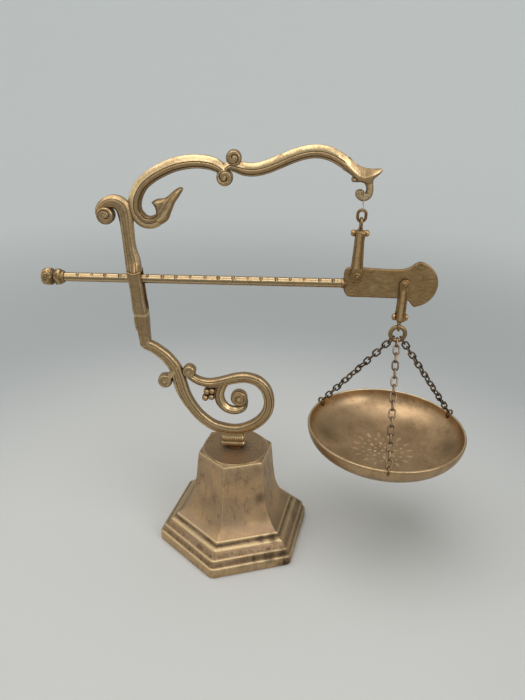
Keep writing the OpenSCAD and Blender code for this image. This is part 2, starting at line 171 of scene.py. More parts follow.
# the same casting with a larger skin: calm brushed faces, soot and painted shade in the steps and to the right,
# painted shade on top
pedestalBrass = brass("cast_brass_pedestal", {
    "dark": "33281c", "body": "c09f77", "tint": "ac9072", "light": "e2c898", "rough": 0.45, "wornAmount": 0.7,
    "fleckAmount": 0.45, "cornerAmount": -0.32, "upwardShade": 0.26,
    "mottle": 26, "grain": 1, "blotch": 7, "blotchStretch": (1, 1, 0.5), "stain": 0.34, "stainFrom": 0.5,
    "fleck": 2.4, "fleckStretch": (1, 1, 0.35), "bump": 0.5, "uneven": 9, "corner": 6, "scratch": (1, 1, 0.06),
    # soot and painted shade: small stains on the facets, broad painted shade over the right side and in the steps
    "soot": [
        ((26, -28, 58), 9, 0.6), ((24, -30, 88), 9, 0.4), ((29, -31, 38), 14, 0.35), ((23, -58, 13), 9, 0.8),
        ((36, -54, 13), 11, 1.0), ((48, -50, 12), 11, 1.0), ((28, -46, 25), 8, 0.8), ((39, -43, 25), 9, 0.95),
        ((51, -52, 4), 13, 1.0), ((70, 0, 14), 50, 0.5), ((0, 0, 98), 30, 0.5), ((14, -62, 14), 16, 0.5),
        ((-26, -26, 45), 16, 0.2), ((62, 20, 15), 26, 0.6)]})
# lathe-turned brass: tighter grain and a brighter shine than the castings
turnedBrass = brass("turned_brass_polished", {
    "dark": "3d2d18", "body": "9c7f58", "tint": "8b714f", "light": "d8bd8e", "rough": 0.36,
    "mottle": 8, "grain": 0.5, "blotch": 3, "stain": 0.3})
# hand-filed brass bar: fine scratches along its length and dull cuts
filedBrass = brass("filed_brass_bar", {
    "dark": "35281a", "body": "9f845f", "tint": "8f7a5e", "light": "d8bf94", "rough": 0.38,
    "mottle": 12, "grain": 0.6, "blotch": 5, "stain": 0.4, "scratch": (0.05, 1, 1)})
# forged brass legs and pins: warm brown, with corners painted dark as painted shade
forgedBrass = brass("forged_brass_shackle", {
    "dark": "2f2216", "body": "97774f", "tint": "836643", "light": "cfac79", "rough": 0.38,
    "mottle": 8, "grain": 0.5, "blotch": 4, "stain": 0.4, "corner": 2.5, "cornerAmount": -0.55})
# rolled and brushed brass sheet: olive brown, matte, with streaks along the plate
plateBrass = brass("brushed_brass_plate", {
    "dark": "3a2c1c", "body": "92764f", "tint": "84694a", "light": "bfa070", "rough": 0.5,
    "mottle": 14, "grain": 0.6, "blotch": 9, "stain": 0.5, "scratch": (0.12, 1, 0.6), "fleck": 2.2,
    "fleckStretch": (0.4, 1, 1),
    "bump": 0.6, "uneven": 6})
# spun brass bowl: broad soft shine, cloudy tarnish, rubbed-up marks, and darker patches that are partly painted shade
spunBrass = brass("spun_brass_bowl", {
    "dark": "463623", "body": "ba9b75", "tint": "a88d6c", "light": "e6cfa6", "rough": 0.41,
    "mottle": 24, "grain": 0.8, "blotch": 15, "blotchStretch": (1, 0.6, 1), "stain": 0.32, "stainFrom": 0.48,
    "fleck": 3, "fleckStretch": (1, 0.35, 1), "bump": 0.35, "uneven": 13, "unevenBump": 0.5, "corner": 12,
    "cornerAmount": -0.1,
    # darker patches: stains, and painted shade on the right inner wall
    "soot": [
        ((88, 12, 105), 22, 0.55), ((172, 30, 106), 28, 0.6), ((195, -5, 108), 24, 0.5), ((100, -14, 99), 16, 0.4),
        ((136, 62, 116), 12, 0.4), ((134, 4, 97), 10, 0.4)]})
# drawn brass wire gone grey brown: dark links with thin bright lines
chainBrass = brass("drawn_brass_wire_dark", {
    "dark": "1f1a14", "body": "756650", "tint": "625442", "light": "bcab8e", "rough": 0.34,
    "mottle": 6, "grain": 0.4, "blotch": 3, "stain": 0.5})
# bent brass rod: brown with a soft shine on the bends
hookBrass = brass("bent_brass_hook", {
    "dark": "2c2013", "body": "8d7048", "tint": "7a603f", "light": "c2a070", "rough": 0.38,
    "mottle": 5, "grain": 0.4, "blotch": 3, "stain": 0.4})
# drawn brass wire where the zinc has worn out: paler and a little pink
chainCopper = brass("drawn_brass_wire_coppery", {
    "dark": "281c12", "body": "9a8268", "tint": "836c54", "light": "d6c0a4", "rough": 0.34,
    "mottle": 6, "grain": 0.4, "blotch": 3, "stain": 0.35})
# bright drawn wire: pale and almost lost against the wall
wireSurface = brass("bright_drawn_wire", {
    "dark": "8f8880", "body": "cfc7bc", "tint": "c2bab0", "light": "e8e2d8", "rough": 0.3, "rub": False,
    "mottle": 4, "grain": 0.4, "blotch": 2, "stain": 0.15, "cornerAmount": 0})
# tarnished brass fittings: deep brown with few bright spots; on the neck washer under the foot block the deep brown
# also stands in for painted shadow
darkBrassAndShadow = brass("tarnished_brass_fittings", {
    "dark": "241a10", "body": "6e5538", "tint": "5e4a33", "light": "ab8c60", "rough": 0.42, "rub": False,
    "mottle": 6, "grain": 0.5, "blotch": 3, "stain": 0.4})
# small turned fittings: yellow, with bright edges that are partly rubbed and partly painted highlight
smallBrass = brass("turned_brass_fittings", {
    "dark": "33261a", "body": "a3814f", "tint": "937549", "light": "e0c08a", "rough": 0.32, "rub": False,
    "mottle": 5, "grain": 0.4, "blotch": 3, "stain": 0.35, "edge": 5})
print("stage: brass surfaces made")


# points of a soft curve from b to c, which leans on the neighbours a and d
def curve(a, b, c, d, steps):
    return [0.5 * (2 * b + (c - a) * t + (2 * a - 5 * b + 4 * c - d) * t * t + (3 * b - a - 3 * c + d) * t ** 3)
            for t in (j / steps for j in range(steps))]


# smooth line through control points [x, z, width, half thickness]
def smoothLine(points, steps):
    out = []
    last = len(points) - 1
    for i in range(last):
        out += curve(*(np.array(points[k], float) for k in (max(i - 1, 0), i, i + 1, min(i + 2, last))), steps)
    out.append(np.array(points[last], float))
    return out


# distance from each point to the nearest of many straight pieces
def reach(points, starts, stops):
    along = stops - starts
    t = ((points[:, None, :] - starts) * along).sum(2) / np.maximum((along ** 2).sum(1), 1e-9)
    near = starts + np.clip(t, 0, 1)[..., None] * along
    return np.sqrt(((points[:, None, :] - near) ** 2).sum(2)).min(1)


# level circle of points round (middle, 0)
def levelCircle(middle, r, z, count):
    return [(middle + r * math.cos(fullTurn * j / count), r * math.sin(fullTurn * j / count),
             z) for j in range(count)]


# faces between rings of points that follow each other
def ringFaces(rings, count, loop=False):
    faces = []
    for i in range(rings - (0 if loop else 1)):
        k = (i + 1) % rings
        for j in range(count):
            n = (j + 1) % count
            faces.append((i * count + j, k * count + j, k * count + n, i * count + n))
    return faces


# the half of a table that is written down, and its mirror image
def mirrored(half, place=0):
    return half + [tuple(-v if k == place else v for k, v in enumerate(p)) for p in reversed(half) if p[place]]


class Shell:
    def __init__(self):
        self.points = []
        self.faces = []
        self.rub = []

    def add(self, points, faces, rub):
        start = len(self.points)
        self.points += [tuple(float(c) for c in p) for p in points]
        self.faces += [tuple(start + i for i in f) for f in faces]
        self.rub += [float(r) for r in rub]

    # skins equal rings of points; closed rings, with flat caps where asked
    def skin(self, rings, rub, capStart=True, capEnd=True, loop=False):
        count = len(rings[0])
        points = [p for ring in rings for p in ring]
        faces = ringFaces(len(rings), count, loop)
        if capStart and not loop:
            faces.append(tuple(range(count)))
        if capEnd and not loop:
            faces.append(tuple((len(rings) - 1) * count + j for j in reversed(range(count))))
        self.add(points, faces, rub)

    # moulded band along a line in the plane of the stand; section is (across, forward, rub and painted light)
    def band(self, line, section, thick=4.5, steps=8, inner=None, flip=1):
        path = smoothLine([list(p[:3]) + [p[3] if len(p) > 3 else thick] for p in line], steps)
        rings, rub = [], []
        total = len(path) - 1
        for i, (x, z, w, t) in enumerate(path):
            a, b = path[max(i - 1, 0)], path[min(i + 1, total)]
            dx, dz = b[0] - a[0], b[1] - a[1]
            long = math.hypot(dx, dz)
            dx, dz = dx / long, dz / long
            ring = [(x - dz * u * w / 2, -flip * h * t, z + dx * u * w / 2) for u, h, r in section]
            back = [(x - dz * u * w / 2, flip * h * t, z + dx * u * w / 2) for u, h, r in reversed(section)]
            if inner is not None:
                back = [(p[0], -flip * inner, p[2]) for p in (back[0], back[-1])]
            rings.append(ring + back)
            backRubAndPaintedLight = [0.4, 0.4] if inner is not None else [r for u, h, r in reversed(section)]
            rub += [r for u, h, r in section] + backRubAndPaintedLight
        if flip < 0:
            rings = [list(reversed(r)) for r in rings]
            size = len(rings[0])
            rub = [rub[i * size + size - 1 - j] for i in range(len(rings)) for j in range(size)]
        self.skin(rings, rub)

    # round boss with an engraved spiral on both faces
    def disc(self, x, z, r, thick=4.6, turns=1.6, spin=1, start=0.0, cut=0.16, count=72, rings=18):
        points, rub, faces = [], [], []
        for face in (-1, 1):
            base = len(points)
            points.append((x, face * thick, z))
            rub.append(0.8)
            for i in range(1, rings + 1):
                rho = (i / rings) ** 0.8
                for j in range(count):
                    angle = fullTurn * j / count
                    phase = rho * turns - spin * (angle - start) / fullTurn
                    away = abs(phase - round(phase))
                    groove = math.exp(-(away / 0.14) ** 2) * min(1, max(0, (rho - 0.16) / 0.12))
                    edge = 1.0 if rho < 0.7 else 0.42 + 0.58 * math.sqrt(max(0, 1 - ((rho - 0.7) / 0.3) ** 2))
                    crown = 1.0 if rho > 0.22 else 1.06
                    height = thick * (edge - cut * groove * min(1, (1 - rho) / 0.12)) * crown
                    points.append((x + r * rho * math.cos(angle), face * height, z + r * rho * math.sin(angle)))
                    rub.append(max(0.02, 0.6 - 2.2 * cut * groove + 0.15 * (rho < 0.22) - .15 * (rho > .9)))
            for j in range(count):
                n = (j + 1) % count
                tri = (base, base + 1 + j, base + 1 + n)
                faces.append(tri if face > 0 else tri[::-1])
                for i in range(rings - 1):
                    a = base + 1 + i * count
                    quad = (a + j, a + count + j, a + count + n, a + n)
                    faces.append(quad if face > 0 else quad[::-1])
        rimA, rimB = 1 + (rings - 1) * count, 1 + rings * count + 1 + (rings - 1) * count
        for j in range(count):
            n = (j + 1) % count
            faces.append((rimA + j, rimB + j, rimB + n, rimA + n))
        self.add(points, [f[::-1] for f in faces], rub)

    # flat outline swelled on both faces, with raised or cut lines drawn on it
    def puff(self, outline, thick, edge, low=0.4, lines=(), spacing=0.6, smooth=4, extra=None, yShift=0.0):
        border = []
        size = len(outline)
        for i in range(size):
            border += curve(*(np.array(outline[(i + k - 1) % size], float) for k in range(4)), smooth)
        border = np.array(border)
        ends = np.roll(border, -1, axis=0)
        lowX, lowZ = border.min(0)
        highX, highZ = border.max(0)
        grid = np.array([(gx + (spacing / 2 if k % 2 else 0), gz)
                         for k, gz in enumerate(np.arange(lowZ, highZ, spacing * 0.87))
                         for gx in np.arange(lowX, highX, spacing)])
        crossing = np.zeros(len(grid), bool)
        for p, q in zip(border, ends):
            hit = (p[1] > grid[:, 1]) != (q[1] > grid[:, 1])
            with np.errstate(divide="ignore", invalid="ignore"):
                at = (q[0] - p[0]) * (grid[:, 1] - p[1]) / (q[1] - p[1]) + p[0]
            crossing ^= hit & (grid[:, 0] < at)
        grid = grid[crossing]
        grid = grid[reach(grid, border, ends) > spacing * 0.45]
        flat = [Vector(p) for p in border] + [Vector(p) for p in grid]
        result = delaunay_2d_cdt(flat, [], [list(range(len(border)))], 1, 1e-5)
        spots = np.array([(v.x, v.y) for v in result[0]])
        depth = reach(spots, border, ends)
        swell = low + (1 - low) * np.sin(np.clip(depth / edge, 0, 1) * math.pi / 2)
        rub = 0.35 + 0.3 * np.clip(depth / edge, 0, 1)
        for line, width, rise in lines:
            track = np.array(smoothLine(line, 6))
            push = np.exp(-(reach(spots, track[:-1], track[1:]) / width) ** 2)
            push *= np.clip(depth / (0.6 * edge), 0, 1)
            swell = swell + rise * push
            # raised lines are painted lighter and cut lines darker: rubbed wear, painted highlight and painted shade
            rub = rub + 2.2 * rise * push
        if extra:
            rise, wearAndPaintedLight = extra(spots, depth)
            swell, rub = swell + rise, rub + wearAndPaintedLight
        total = len(spots)
        points, wearAndPaintedLight, faces = [], [], []
        for face in (-1, 1):
            points += [(p[0], yShift + face * thick * s, p[1]) for p, s in zip(spots, swell)]
            wearAndPaintedLight += list(np.clip(rub, 0.02, 1))
        counts = {}
        for tri in result[2]:
            a, b, c = tri[:3]
            one, two = spots[b] - spots[a], spots[c] - spots[a]
            tri = list(tri) if one[0] * two[1] - one[1] * two[0] > 0 else list(reversed(tri))
            faces.append(tuple(tri))
            faces.append(tuple(total + i for i in reversed(tri)))
            for k in range(len(tri)):
                pair = (tri[k], tri[(k + 1) % len(tri)])
                counts[pair] = counts.get(pair, 0) + 1
        for (a, b) in counts:
            if (b, a) not in counts:
                faces.append((b, a, total + a, total + b))
        self.add(points, faces, wearAndPaintedLight)

    # round wire along a path of 3-D points
    def wire(self, path, radius, closed=False, sides=12, rub=0.6):
        path = [Vector(p) for p in path]
        count = len(path)
        rings, wearAndPaintedLight = [], []
        normal = None
        for i, p in enumerate(path):
            a = path[i - 1] if (i or closed) else path[0]
            b = path[(i + 1) % count] if (closed or i < count - 1) else path[-1]
            way = (b - a).normalized()
            if normal is None:
                normal = way.orthogonal().normalized()
            normal = (normal - way * normal.dot(way)).normalized()
            other = way.cross(normal)
            rings.append([p + (normal * math.cos(fullTurn * j / sides) + other * math.sin(fullTurn * j / sides))
                          * radius for j in range(sides)])
            wearAndPaintedLight += [rub] * sides
        if closed:
            # the frame is turned little by little so that the last ring meets the first
            way = (path[1] - path[-1]).normalized()
            back = normal - way * normal.dot(way)
            first = rings[0][0] - path[0]
            twist = math.atan2(way.dot(back.cross(first)), back.dot(first))
            for i, p in enumerate(path):
                spin = Matrix.Rotation(twist * i / count, 3, (path[(i + 1) % count] - path[i - 1]).normalized())
                rings[i] = [p + spin @ (q - p) for q in rings[i]]
        self.skin(rings, wearAndPaintedLight, loop=closed)

    # ball, squashed by the given half sizes
    def ball(self, centre, radii, rub=0.7, count=20):
        rings, wearAndPaintedLight = [], []
        for i in range(1, count // 2):
            a = math.pi * i / (count // 2)
            rings.append([(centre[0] + radii[0] * math.sin(a) * math.cos(fullTurn * j / count),
                           centre[1] + radii[1] * math.sin(a) * math.sin(fullTurn * j / count),
                           centre[2] + radii[2] * math.cos(a)) for j in range(count)])
            wearAndPaintedLight += [rub * (0.35 + 0.65 * math.sin(a))] * count
        self.skin([r[::-1] for r in rings], wearAndPaintedLight)

    # turned shape: profile (radius, along, rub and painted light) about an axis through origin
    def lathe(self, origin, axis, profile, count=64, shape=None, front=None):
        axis = Vector(axis).normalized()
        u = Vector(front) if front else axis.orthogonal()
        u = (u - axis * u.dot(axis)).normalized()
        v = axis.cross(u)
        rings, wearAndPaintedLight = [], []
        for r, h, rub in profile:
            ring = []
            for j in range(count):
                angle = fullTurn * j / count
                grow, wornAndPaintedLight = shape(angle, r, h) if shape else (0, 0)
                ring.append(Vector(origin) + axis * h + (u * math.cos(angle) + v * math.sin(angle)) * (r + grow))
                wearAndPaintedLight.append(min(1, max(0.02, rub + wornAndPaintedLight)))
            rings.append(ring)
        self.skin(rings, wearAndPaintedLight)

    def build(self, name, material, body, replaced=(), sharp=40):
        mesh = bpy.data.meshes.new(name)
        mesh.from_pydata([tuple(c * mm for c in p) for p in self.points], [], self.faces)
        wearAndPaintedLight = mesh.attributes.new("rub", "FLOAT", "POINT")
        wearAndPaintedLight.data.foreach_set("value", self.rub)
        mesh.materials.append(material)
        mesh.shade_smooth()
        mesh.set_sharp_from_angle(angle=math.radians(sharp))
        obj = bpy.data.objects.new(name, mesh)
        scene.collection.objects.link(obj)
        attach(obj, body)
        if replaced:
            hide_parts(*replaced)
        return obj


# sections of the cast bands: (across from -1 to 1, forward from 0 to 1, rub and painted light)
ridged = mirrored([
    (-1, .44, .3), (-.93, .62, .4), (-.78, .80, .7), (-.66, .86, .75), (-.54, .86, .45), (-.46, .78, .3),
    (-.38, .84, .5), (-.26, .93, .8), (-.16, .93, .5), (0, .96, .55)])
moulded = [
    (-1, .42, .15), (-.9, .62, .2), (-.8, .78, .5), (-.72, .76, .3), (-.66, .70, .12), (-.6, .78, .3),
    (-.5, .92, .55), (-.3, .96, .38), (-.1, .92, .5), (-.02, .86, .4), (.04, .76, .15), (.1, .82, .5),
    (.18, .84, .9), (.55, .62, .7), (.88, .40, .8), (1, .26, .5)]
column = mirrored([
    (-1, .38, .4), (-.66, .78, .6), (-.57, .84, .7), (-.5, .82, .42), (-.44, .81, .36), (-.36, .87, .45),
    (-.26, .94, .65), (0, .97, .4)])
plain = mirrored([(-1, .3, .15), (-.8, .7, .4), (-.4, .94, .65), (0, 1, .75)])


# pedestal: rounded six-sided mouldings, flared neck, turned-down crown
pedestal = {
    "turn": 18, "perSide": 10, "perCorner": 8,
    # radius over corners, height, corner rounding, rub and painted light
    "levels": [
        (71, 0, 6, .3), (74.2, 0, 6, .4), (75, .9, 6, .5), (75, 8.6, 6, .6), (74.6, 9.5, 5.6, .95),
        (74, 10, 5.4, .95), (73, 10.2, 5, .5), (72.3, 10.9, 4.6, .28), (71.9, 12.2, 4.4, .28),
        (71.6, 14, 4.2, .28), (71.5, 15.6, 4, .34), (71, 16.4, 3.6, .95), (70.2, 16.7, 3.4, .9),
        (69.2, 16.9, 3.2, .34), (68.3, 17.5, 3.2, .22), (67, 18.6, 3.1, .24), (65.6, 20, 3, .28),
        (64.6, 21.2, 3, .45), (63.9, 22.1, 2.8, .9), (62.8, 22.9, 2.7, .97), (61.4, 23.2, 2.6, .8),
        (60.2, 23.5, 2.5, .32), (59.2, 24.3, 2.4, .22), (58.7, 25.5, 2.3, .24), (58.6, 26.6, 2.2, .35),
        (58.2, 27.5, 2.1, .92), (57.5, 28, 2, .97), (56.7, 28.2, 1.9, .6), (56.1, 28.4, 1.8, .35),
        (54.6, 29.2, 1.7, .5), (52, 31.1, 1.6, .52), (49.4, 33.8, 1.5, .52), (47.2, 36.8, 1.5, .52),
        (45, 40.6, 1.5, .52), (43, 45, 1.5, .5), (41.3, 50, 1.5, .5), (40, 56, 1.5, .47), (39, 62, 1.5, .45),
        (38.2, 69, 1.5, .45), (37.4, 76, 1.5, .45), (36.8, 83, 1.5, .47), (36.2, 89, 1.4, .5),
        (35.8, 93, 1.2, .62), (35.5, 94.1, 1, .98), (35.1, 94.6, .8, .95), (34.4, 94.8, .6, .3)],
    # radius of the boss on the crown, height, rub and painted light
    "crown": [
        (31.6, 95.0, .4), (31.2, 95.2, .3), (30.9, 95.8, .95), (30.4, 96.0, .95), (29.8, 95.9, .35),
        (28, 95.8, .3), (20, 95.9, .3), (12, 96, .22), (4, 96, .1)],
}


def sixSided(radius, corner, look):
    ring = []
    flat = radius * math.cos(math.pi / 6)
    for side in range(6):
        start = math.radians(look["turn"] + 60 * side)
        tip = radius - corner / math.cos(math.pi / 6)
        for j in range(look["perCorner"]):
            a = start + math.radians(-30 + 60 * j / (look["perCorner"] - 1))
            ring.append((tip * math.cos(start) + corner * math.cos(a), tip * math.sin(start) + corner * math.sin(a)))
        middle = start + math.pi / 6
        half = tip * math.sin(math.pi / 6)
        # the first and last points lie close to the corner, so that its shine stays narrow
        last = look["perSide"] - 1
        for j in range(1, look["perSide"]):
            s = (half - .35) * (-1 if j == 1 else 1) if j in (1, last) else -half + 2 * half * (j - 1) / (last - 1)
            ring.append((flat * math.cos(middle) - s * math.sin(middle),
                         flat * math.sin(middle) + s * math.cos(middle)))
    return ring


def buildPedestal(look):
    shell = Shell()
    rings, rub = [], []
    for radius, z, corner, wornAndPaintedLight in look["levels"]:
        ring = sixSided(radius, corner, look)
        rings.append([(x + .12 * math.sin(z * .31 + x * .05), y + .1 * math.sin(z * .27 + y * .06), z) for x,
                      y in ring])
        turn = look["perCorner"] + look["perSide"] - 1
        # the two middle points of each rounded corner, counted in the reversed ring, are painted lighter: rubbed and
        # painted highlight
        rub += [wornAndPaintedLight + (.3 if 26 < z < 94 and k % turn in (turn - 4, turn - 5) else 0) for k in range(len(ring))]
    outer = sixSided(look["levels"][-1][0], look["levels"][-1][2], look)
    for radius, z, wornAndPaintedLight in look["crown"]:
        rings.append([(x * min(1, radius / math.hypot(x, y)), y * min(1, radius / math.hypot(x, y)), z) for x,
                      y in outer])
        rub += [wornAndPaintedLight] * len(outer)
    shell.skin([r[::-1] for r in rings], rub)
    return shell.build("pedestal", pedestalBrass, "stand", ["base_casting"], 32)


buildPedestal(pedestal)
print("stage: pedestal built")


# lower scroll: ridged band, curls, berries, fluted foot block and knurled collar
lowerScroll = {
    "stem": [
        [-81, 199, 9], [-73, 195.5, 9.5], [-63.5, 188.3, 10], [-58.3, 182, 10.5], [-54.5, 176, 11],
        [-52, 168, 11.5], [-49.7, 158, 12], [-46.5, 149, 11], [-41.2, 139, 10], [-33, 128, 9.5], [-22, 119, 9.5],
        [-11, 115.3, 9.5], [0, 114.3, 9.5], [9, 116.5, 9.5], [18, 121.5, 9.5], [25.5, 129, 9.5], [29.6, 138, 9.5],
        [30.2, 148, 9.5], [27, 158.5, 9.5], [20, 166, 9.3], [11, 169.2, 9], [2, 168.8, 9], [-8, 166, 8.5],
        [-18, 163.2, 8], [-26, 162.5, 7.5], [-34, 164.5, 7], [-41, 169, 6.5], [-43, 173, 5]],
    "neck": [[-79.6, 197.5, 9.5], [-80.4, 206, 10.5], [-80.9, 213, 11], [-81.5, 221, 11.5], [-82.5, 228.9, 11.5]],
    "leftCurl": [[-52.5, 178.5, 5], [-56.5, 171.5, 6], [-60.5, 167, 6], [-64, 165, 5]],
    "innerCurl": [
        [-9, 165.5, 8], [-12.6, 161, 9], [-15, 154.5, 9.3], [-15.2, 148.5, 9], [-13, 142.3, 8.5], [-7.5, 137, 7.7],
        [0, 135.6, 7.2], [6, 138.1, 6.5], [8.6, 142.4, 5], [9, 147, 3]],
    # [x, z, radius, turns, spin, start angle]
    "curls": [[-42, 174, 6, 1.3, 1, 4, .07], [-64, 163.5, 6.5, 1.3, -1, 1, .07], [2.8, 148.6, 7.6, 1.9, 1, 5, .14]],
    "berries": [[-26.5, 154], [-21.6, 154.8], [-28, 147.7], [-22.4, 148.8]],
    # foot block stations: height, half width, half depth, flute depth; and the distance between flutes
    "pitch": 1.75,
    "foot": [
        (99, 9.5, 4.4, 0), (99.5, 10.3, 5.1, 0), (100.6, 11, 5.6, 0), (102.2, 11, 5.7, 0), (103, 10.6, 5.3, 0),
        (103.5, 10.2, 4.9, 0), (104, 10.2, 4.9, .2), (104.7, 10.6, 5.4, .5), (106.2, 10.7, 5.5, .55),
        (107.8, 10.6, 5.4, .5), (108.6, 10.3, 5, .3), (109.2, 9.6, 4.4, 0), (112, 8.6, 3.6, 0)],
    # collar stations: height, centre x, half width, half depth
    "collar": [
        (208, -80.6, 4.5, 4.1), (210.5, -80.8, 5, 4.7), (213, -81, 5.4, 5.3), (217, -81.3, 5.6, 5.9),
        (222, -81.6, 5.7, 6.1), (225.6, -81.9, 5.7, 6.2), (226.3, -82, 5.9, 6.3), (227.6, -82.1, 5.9, 6.4),
        (228.9, -82.3, 5.8, 6.3)],
    "beads": [(-85.9, 214.6), (-86.3, 217.1), (-86.6, 219.6), (-86.8, 222.1), (-86.9, 224.5)],
}


# ring round a block with soft corners
def blockRing(cx, halfX, halfY, z, count, soft, flute=0.0, pitch=1.0):
    ring = []
    for j in range(count):
        a = fullTurn * (j + 0.5) / count
        c, s = math.cos(a), math.sin(a)
        grow = (abs(c) ** soft + abs(s) ** soft) ** (-1 / soft)
        x, y = halfX * c * grow, halfY * s * grow
        away = x if abs(y) / halfY > abs(x) / halfX else y
        cut = flute * (0.5 - 0.5 * math.cos(fullTurn * away / pitch))
        ring.append((cx + x * (1 - cut / halfX * (abs(x) / halfX > .95)),
                     y * (1 - cut / halfY * (abs(y) / halfY > .9)), z))
    return ring


def buildLowerScroll(look):
    shell = Shell()
    shell.band(look["stem"], ridged, 4.5, 9)
    shell.band(look["neck"], column, 4.45, 8)
    shell.ball((-80.2, 0, 199.3), (5.2, 4.3, 5), .5)
    shell.band(look["leftCurl"], plain, 4.2, 8)
    shell.band(look["innerCurl"], moulded, 4.7, 9)
    for x, z, r, turns, spin, start, cut in look["curls"]:
        shell.disc(x, z, r, 4.9, turns, spin, start, cut)
    for x, z in look["berries"]:
        shell.ball((x, -1.2, z), (3.1, 3.6, 3.1), .8)
        shell.ball((x, 1.2, z), (3.1, 3.6, 3.1), .8)
    rings, rub = [], []
    for z, halfX, halfY, flute in look["foot"]:
        ring = blockRing(-2, halfX, halfY, z, 240, 9, flute, look["pitch"])
        rings.append(ring)
        # flute valleys are painted darker as painted shade; the bulging band and the flute crests are painted
        # lighter, rubbed and painted highlight
        for x, y, h in ring:
            across = x if abs(y) > halfY * .9 else y
            valley = flute > .3 and math.cos(fullTurn * across / look["pitch"]) < -.2
            rub.append(.5 if valley else (1.1 if 100 < z < 103.2 or flute > .25 else .4))
    shell.skin([r[::-1] for r in rings], rub)
    rings, rub = [], []
    for z, cx, halfX, halfY in look["collar"]:
        ring = blockRing(cx, halfX, halfY, z, 160, 5, .22, 1.5)
        rings.append(ring)
        rub += [.45 + .35 * (226 < z < 228)] * len(ring)
    shell.skin([r[::-1] for r in rings], rub)
    for x, z in look["beads"]:
        for face in (-1, 1):
            shell.ball((x, face * 4.9, z), (1.15, 1.5, 1.1), .85, 14)
    return shell.build("lower_scroll_cast", castBrass, "stand", ["lower_scroll"])


buildLowerScroll(lowerScroll)
print("stage: lower scroll built")


# column and arch: slotted cheeks, curl, moulded arch, leaf and volute
columnArch = {
    "base": [[-82.5, 229.1, 11.5, 6.4], [-82.7, 230.5, 11.3, 6.8], [-82.8, 231.9, 11.2, 7.1]],
    "bar": [
        [-85.5, 264.1, 11.6, 8], [-85.9, 266.5, 12, 7.6], [-86.3, 270.5, 12.1, 6.2], [-86.8, 275, 12, 5],
        [-88.4, 286, 10], [-89.2, 300, 10.2], [-90, 311, 11.5], [-92, 318.2, 12], [-97.5, 321.8, 10.8],
        [-104, 320.9, 9.5], [-109.4, 316.6, 8], [-111.3, 311, 6]],
    "cheek": [
        [-82.5, 229.1, 12, 6.6], [-82.8, 234, 12, 7.6], [-83.3, 240, 11.2, 8.25], [-84.1, 251, 10.8, 8.25],
        [-85.3, 261, 11.7, 8.2], [-85.6, 265.2, 11.8, 7.9]],
    "arch": [
        [-60, 312, 9], [-65, 308, 9.5], [-70.5, 306.3, 10], [-76.5, 308, 10.5], [-81.5, 315, 10.5],
        [-81.3, 324.5, 10.5], [-76.5, 334.5, 10.5], [-69, 341.5, 10.5], [-60, 347, 10.5], [-50, 351.5, 10.5],
        [-40, 354, 10.5], [-30, 354.8, 10.2], [-20, 353.6, 10], [-12.5, 350, 8.5], [-7.5, 345.5, 6]],
    "leaf": [
        [-62, 305.2], [-56, 308.5], [-53, 315], [-50, 322], [-46.6, 327], [-43.2, 332.6], [-43.5, 334.4],
        [-45.6, 334.6], [-48.6, 333.2], [-52, 330.5], [-56, 327], [-59.5, 325.6], [-64, 325], [-68, 322.6],
        [-67.2, 321], [-65.5, 318], [-65, 314], [-66, 310.5], [-68, 308]],
    "leafLines": [
        ([[-46.2, 331], [-50.5, 325.5], [-54.5, 318.5], [-58.5, 312.5], [-63, 309]], 1.1, .12),
        ([[-49.5, 329.5], [-54.2, 324.6], [-58, 318.5], [-62, 313]], .8, -.12),
        ([[-57.5, 325], [-59.8, 321.5], [-62.5, 317]], .8, -.12)],
    "curls": [[-106, 311, 7.3, 1.7, 1, 1.6], [-10, 343.5, 6.5, 1.5, -1, 2.4]],
}
cheekSection = mirrored([
    (-1, .62, .4), (-.94, .80, .5), (-.82, .93, .75), (-.74, .94, .5), (-.68, .91, .38), (-.6, .92, .48),
    (-.4, .95, .5), (-.34, .94, .42), (-.28, .96, .55), (0, .98, .5)])


def buildColumnArch(look):
    shell = Shell()
    shell.band(look["base"], column, 4.5, 4)
    shell.band(look["bar"], column, 4.6, 9)
    shell.band(look["cheek"], cheekSection, 8, 6, inner=4.3)
    shell.band(look["cheek"], cheekSection, 8, 6, inner=4.3, flip=-1)
    # raised ridge, bent a little downwards, across the front and back of the cheeks
    for face in (-1, 1):
        shell.wire([(-91.2, face * 5.4, 265.9), (-90.1, face * 7.3, 265.4), (-88, face * 7.9, 264.6), (-85.6,
                                                                                                       face * 8, 264),
                    (-83, face * 7.9, 264.5), (-80.8, face * 7.3, 265.4), (-79.9, face * 5.4, 265.9)], .62, rub=.75)
    shell.band(look["arch"], moulded, 4.75, 9)
    shell.puff(look["leaf"], 4.3, 3.4, .36, look["leafLines"], .55)
    for x, z, r, turns, spin, start in look["curls"]:
        shell.disc(x, z, r, 5.1, turns, spin, start)
    return shell.build("column_arch_cast", castBrass, "stand", ["column_arch"])


buildColumnArch(columnArch)
print("stage: column and arch built")


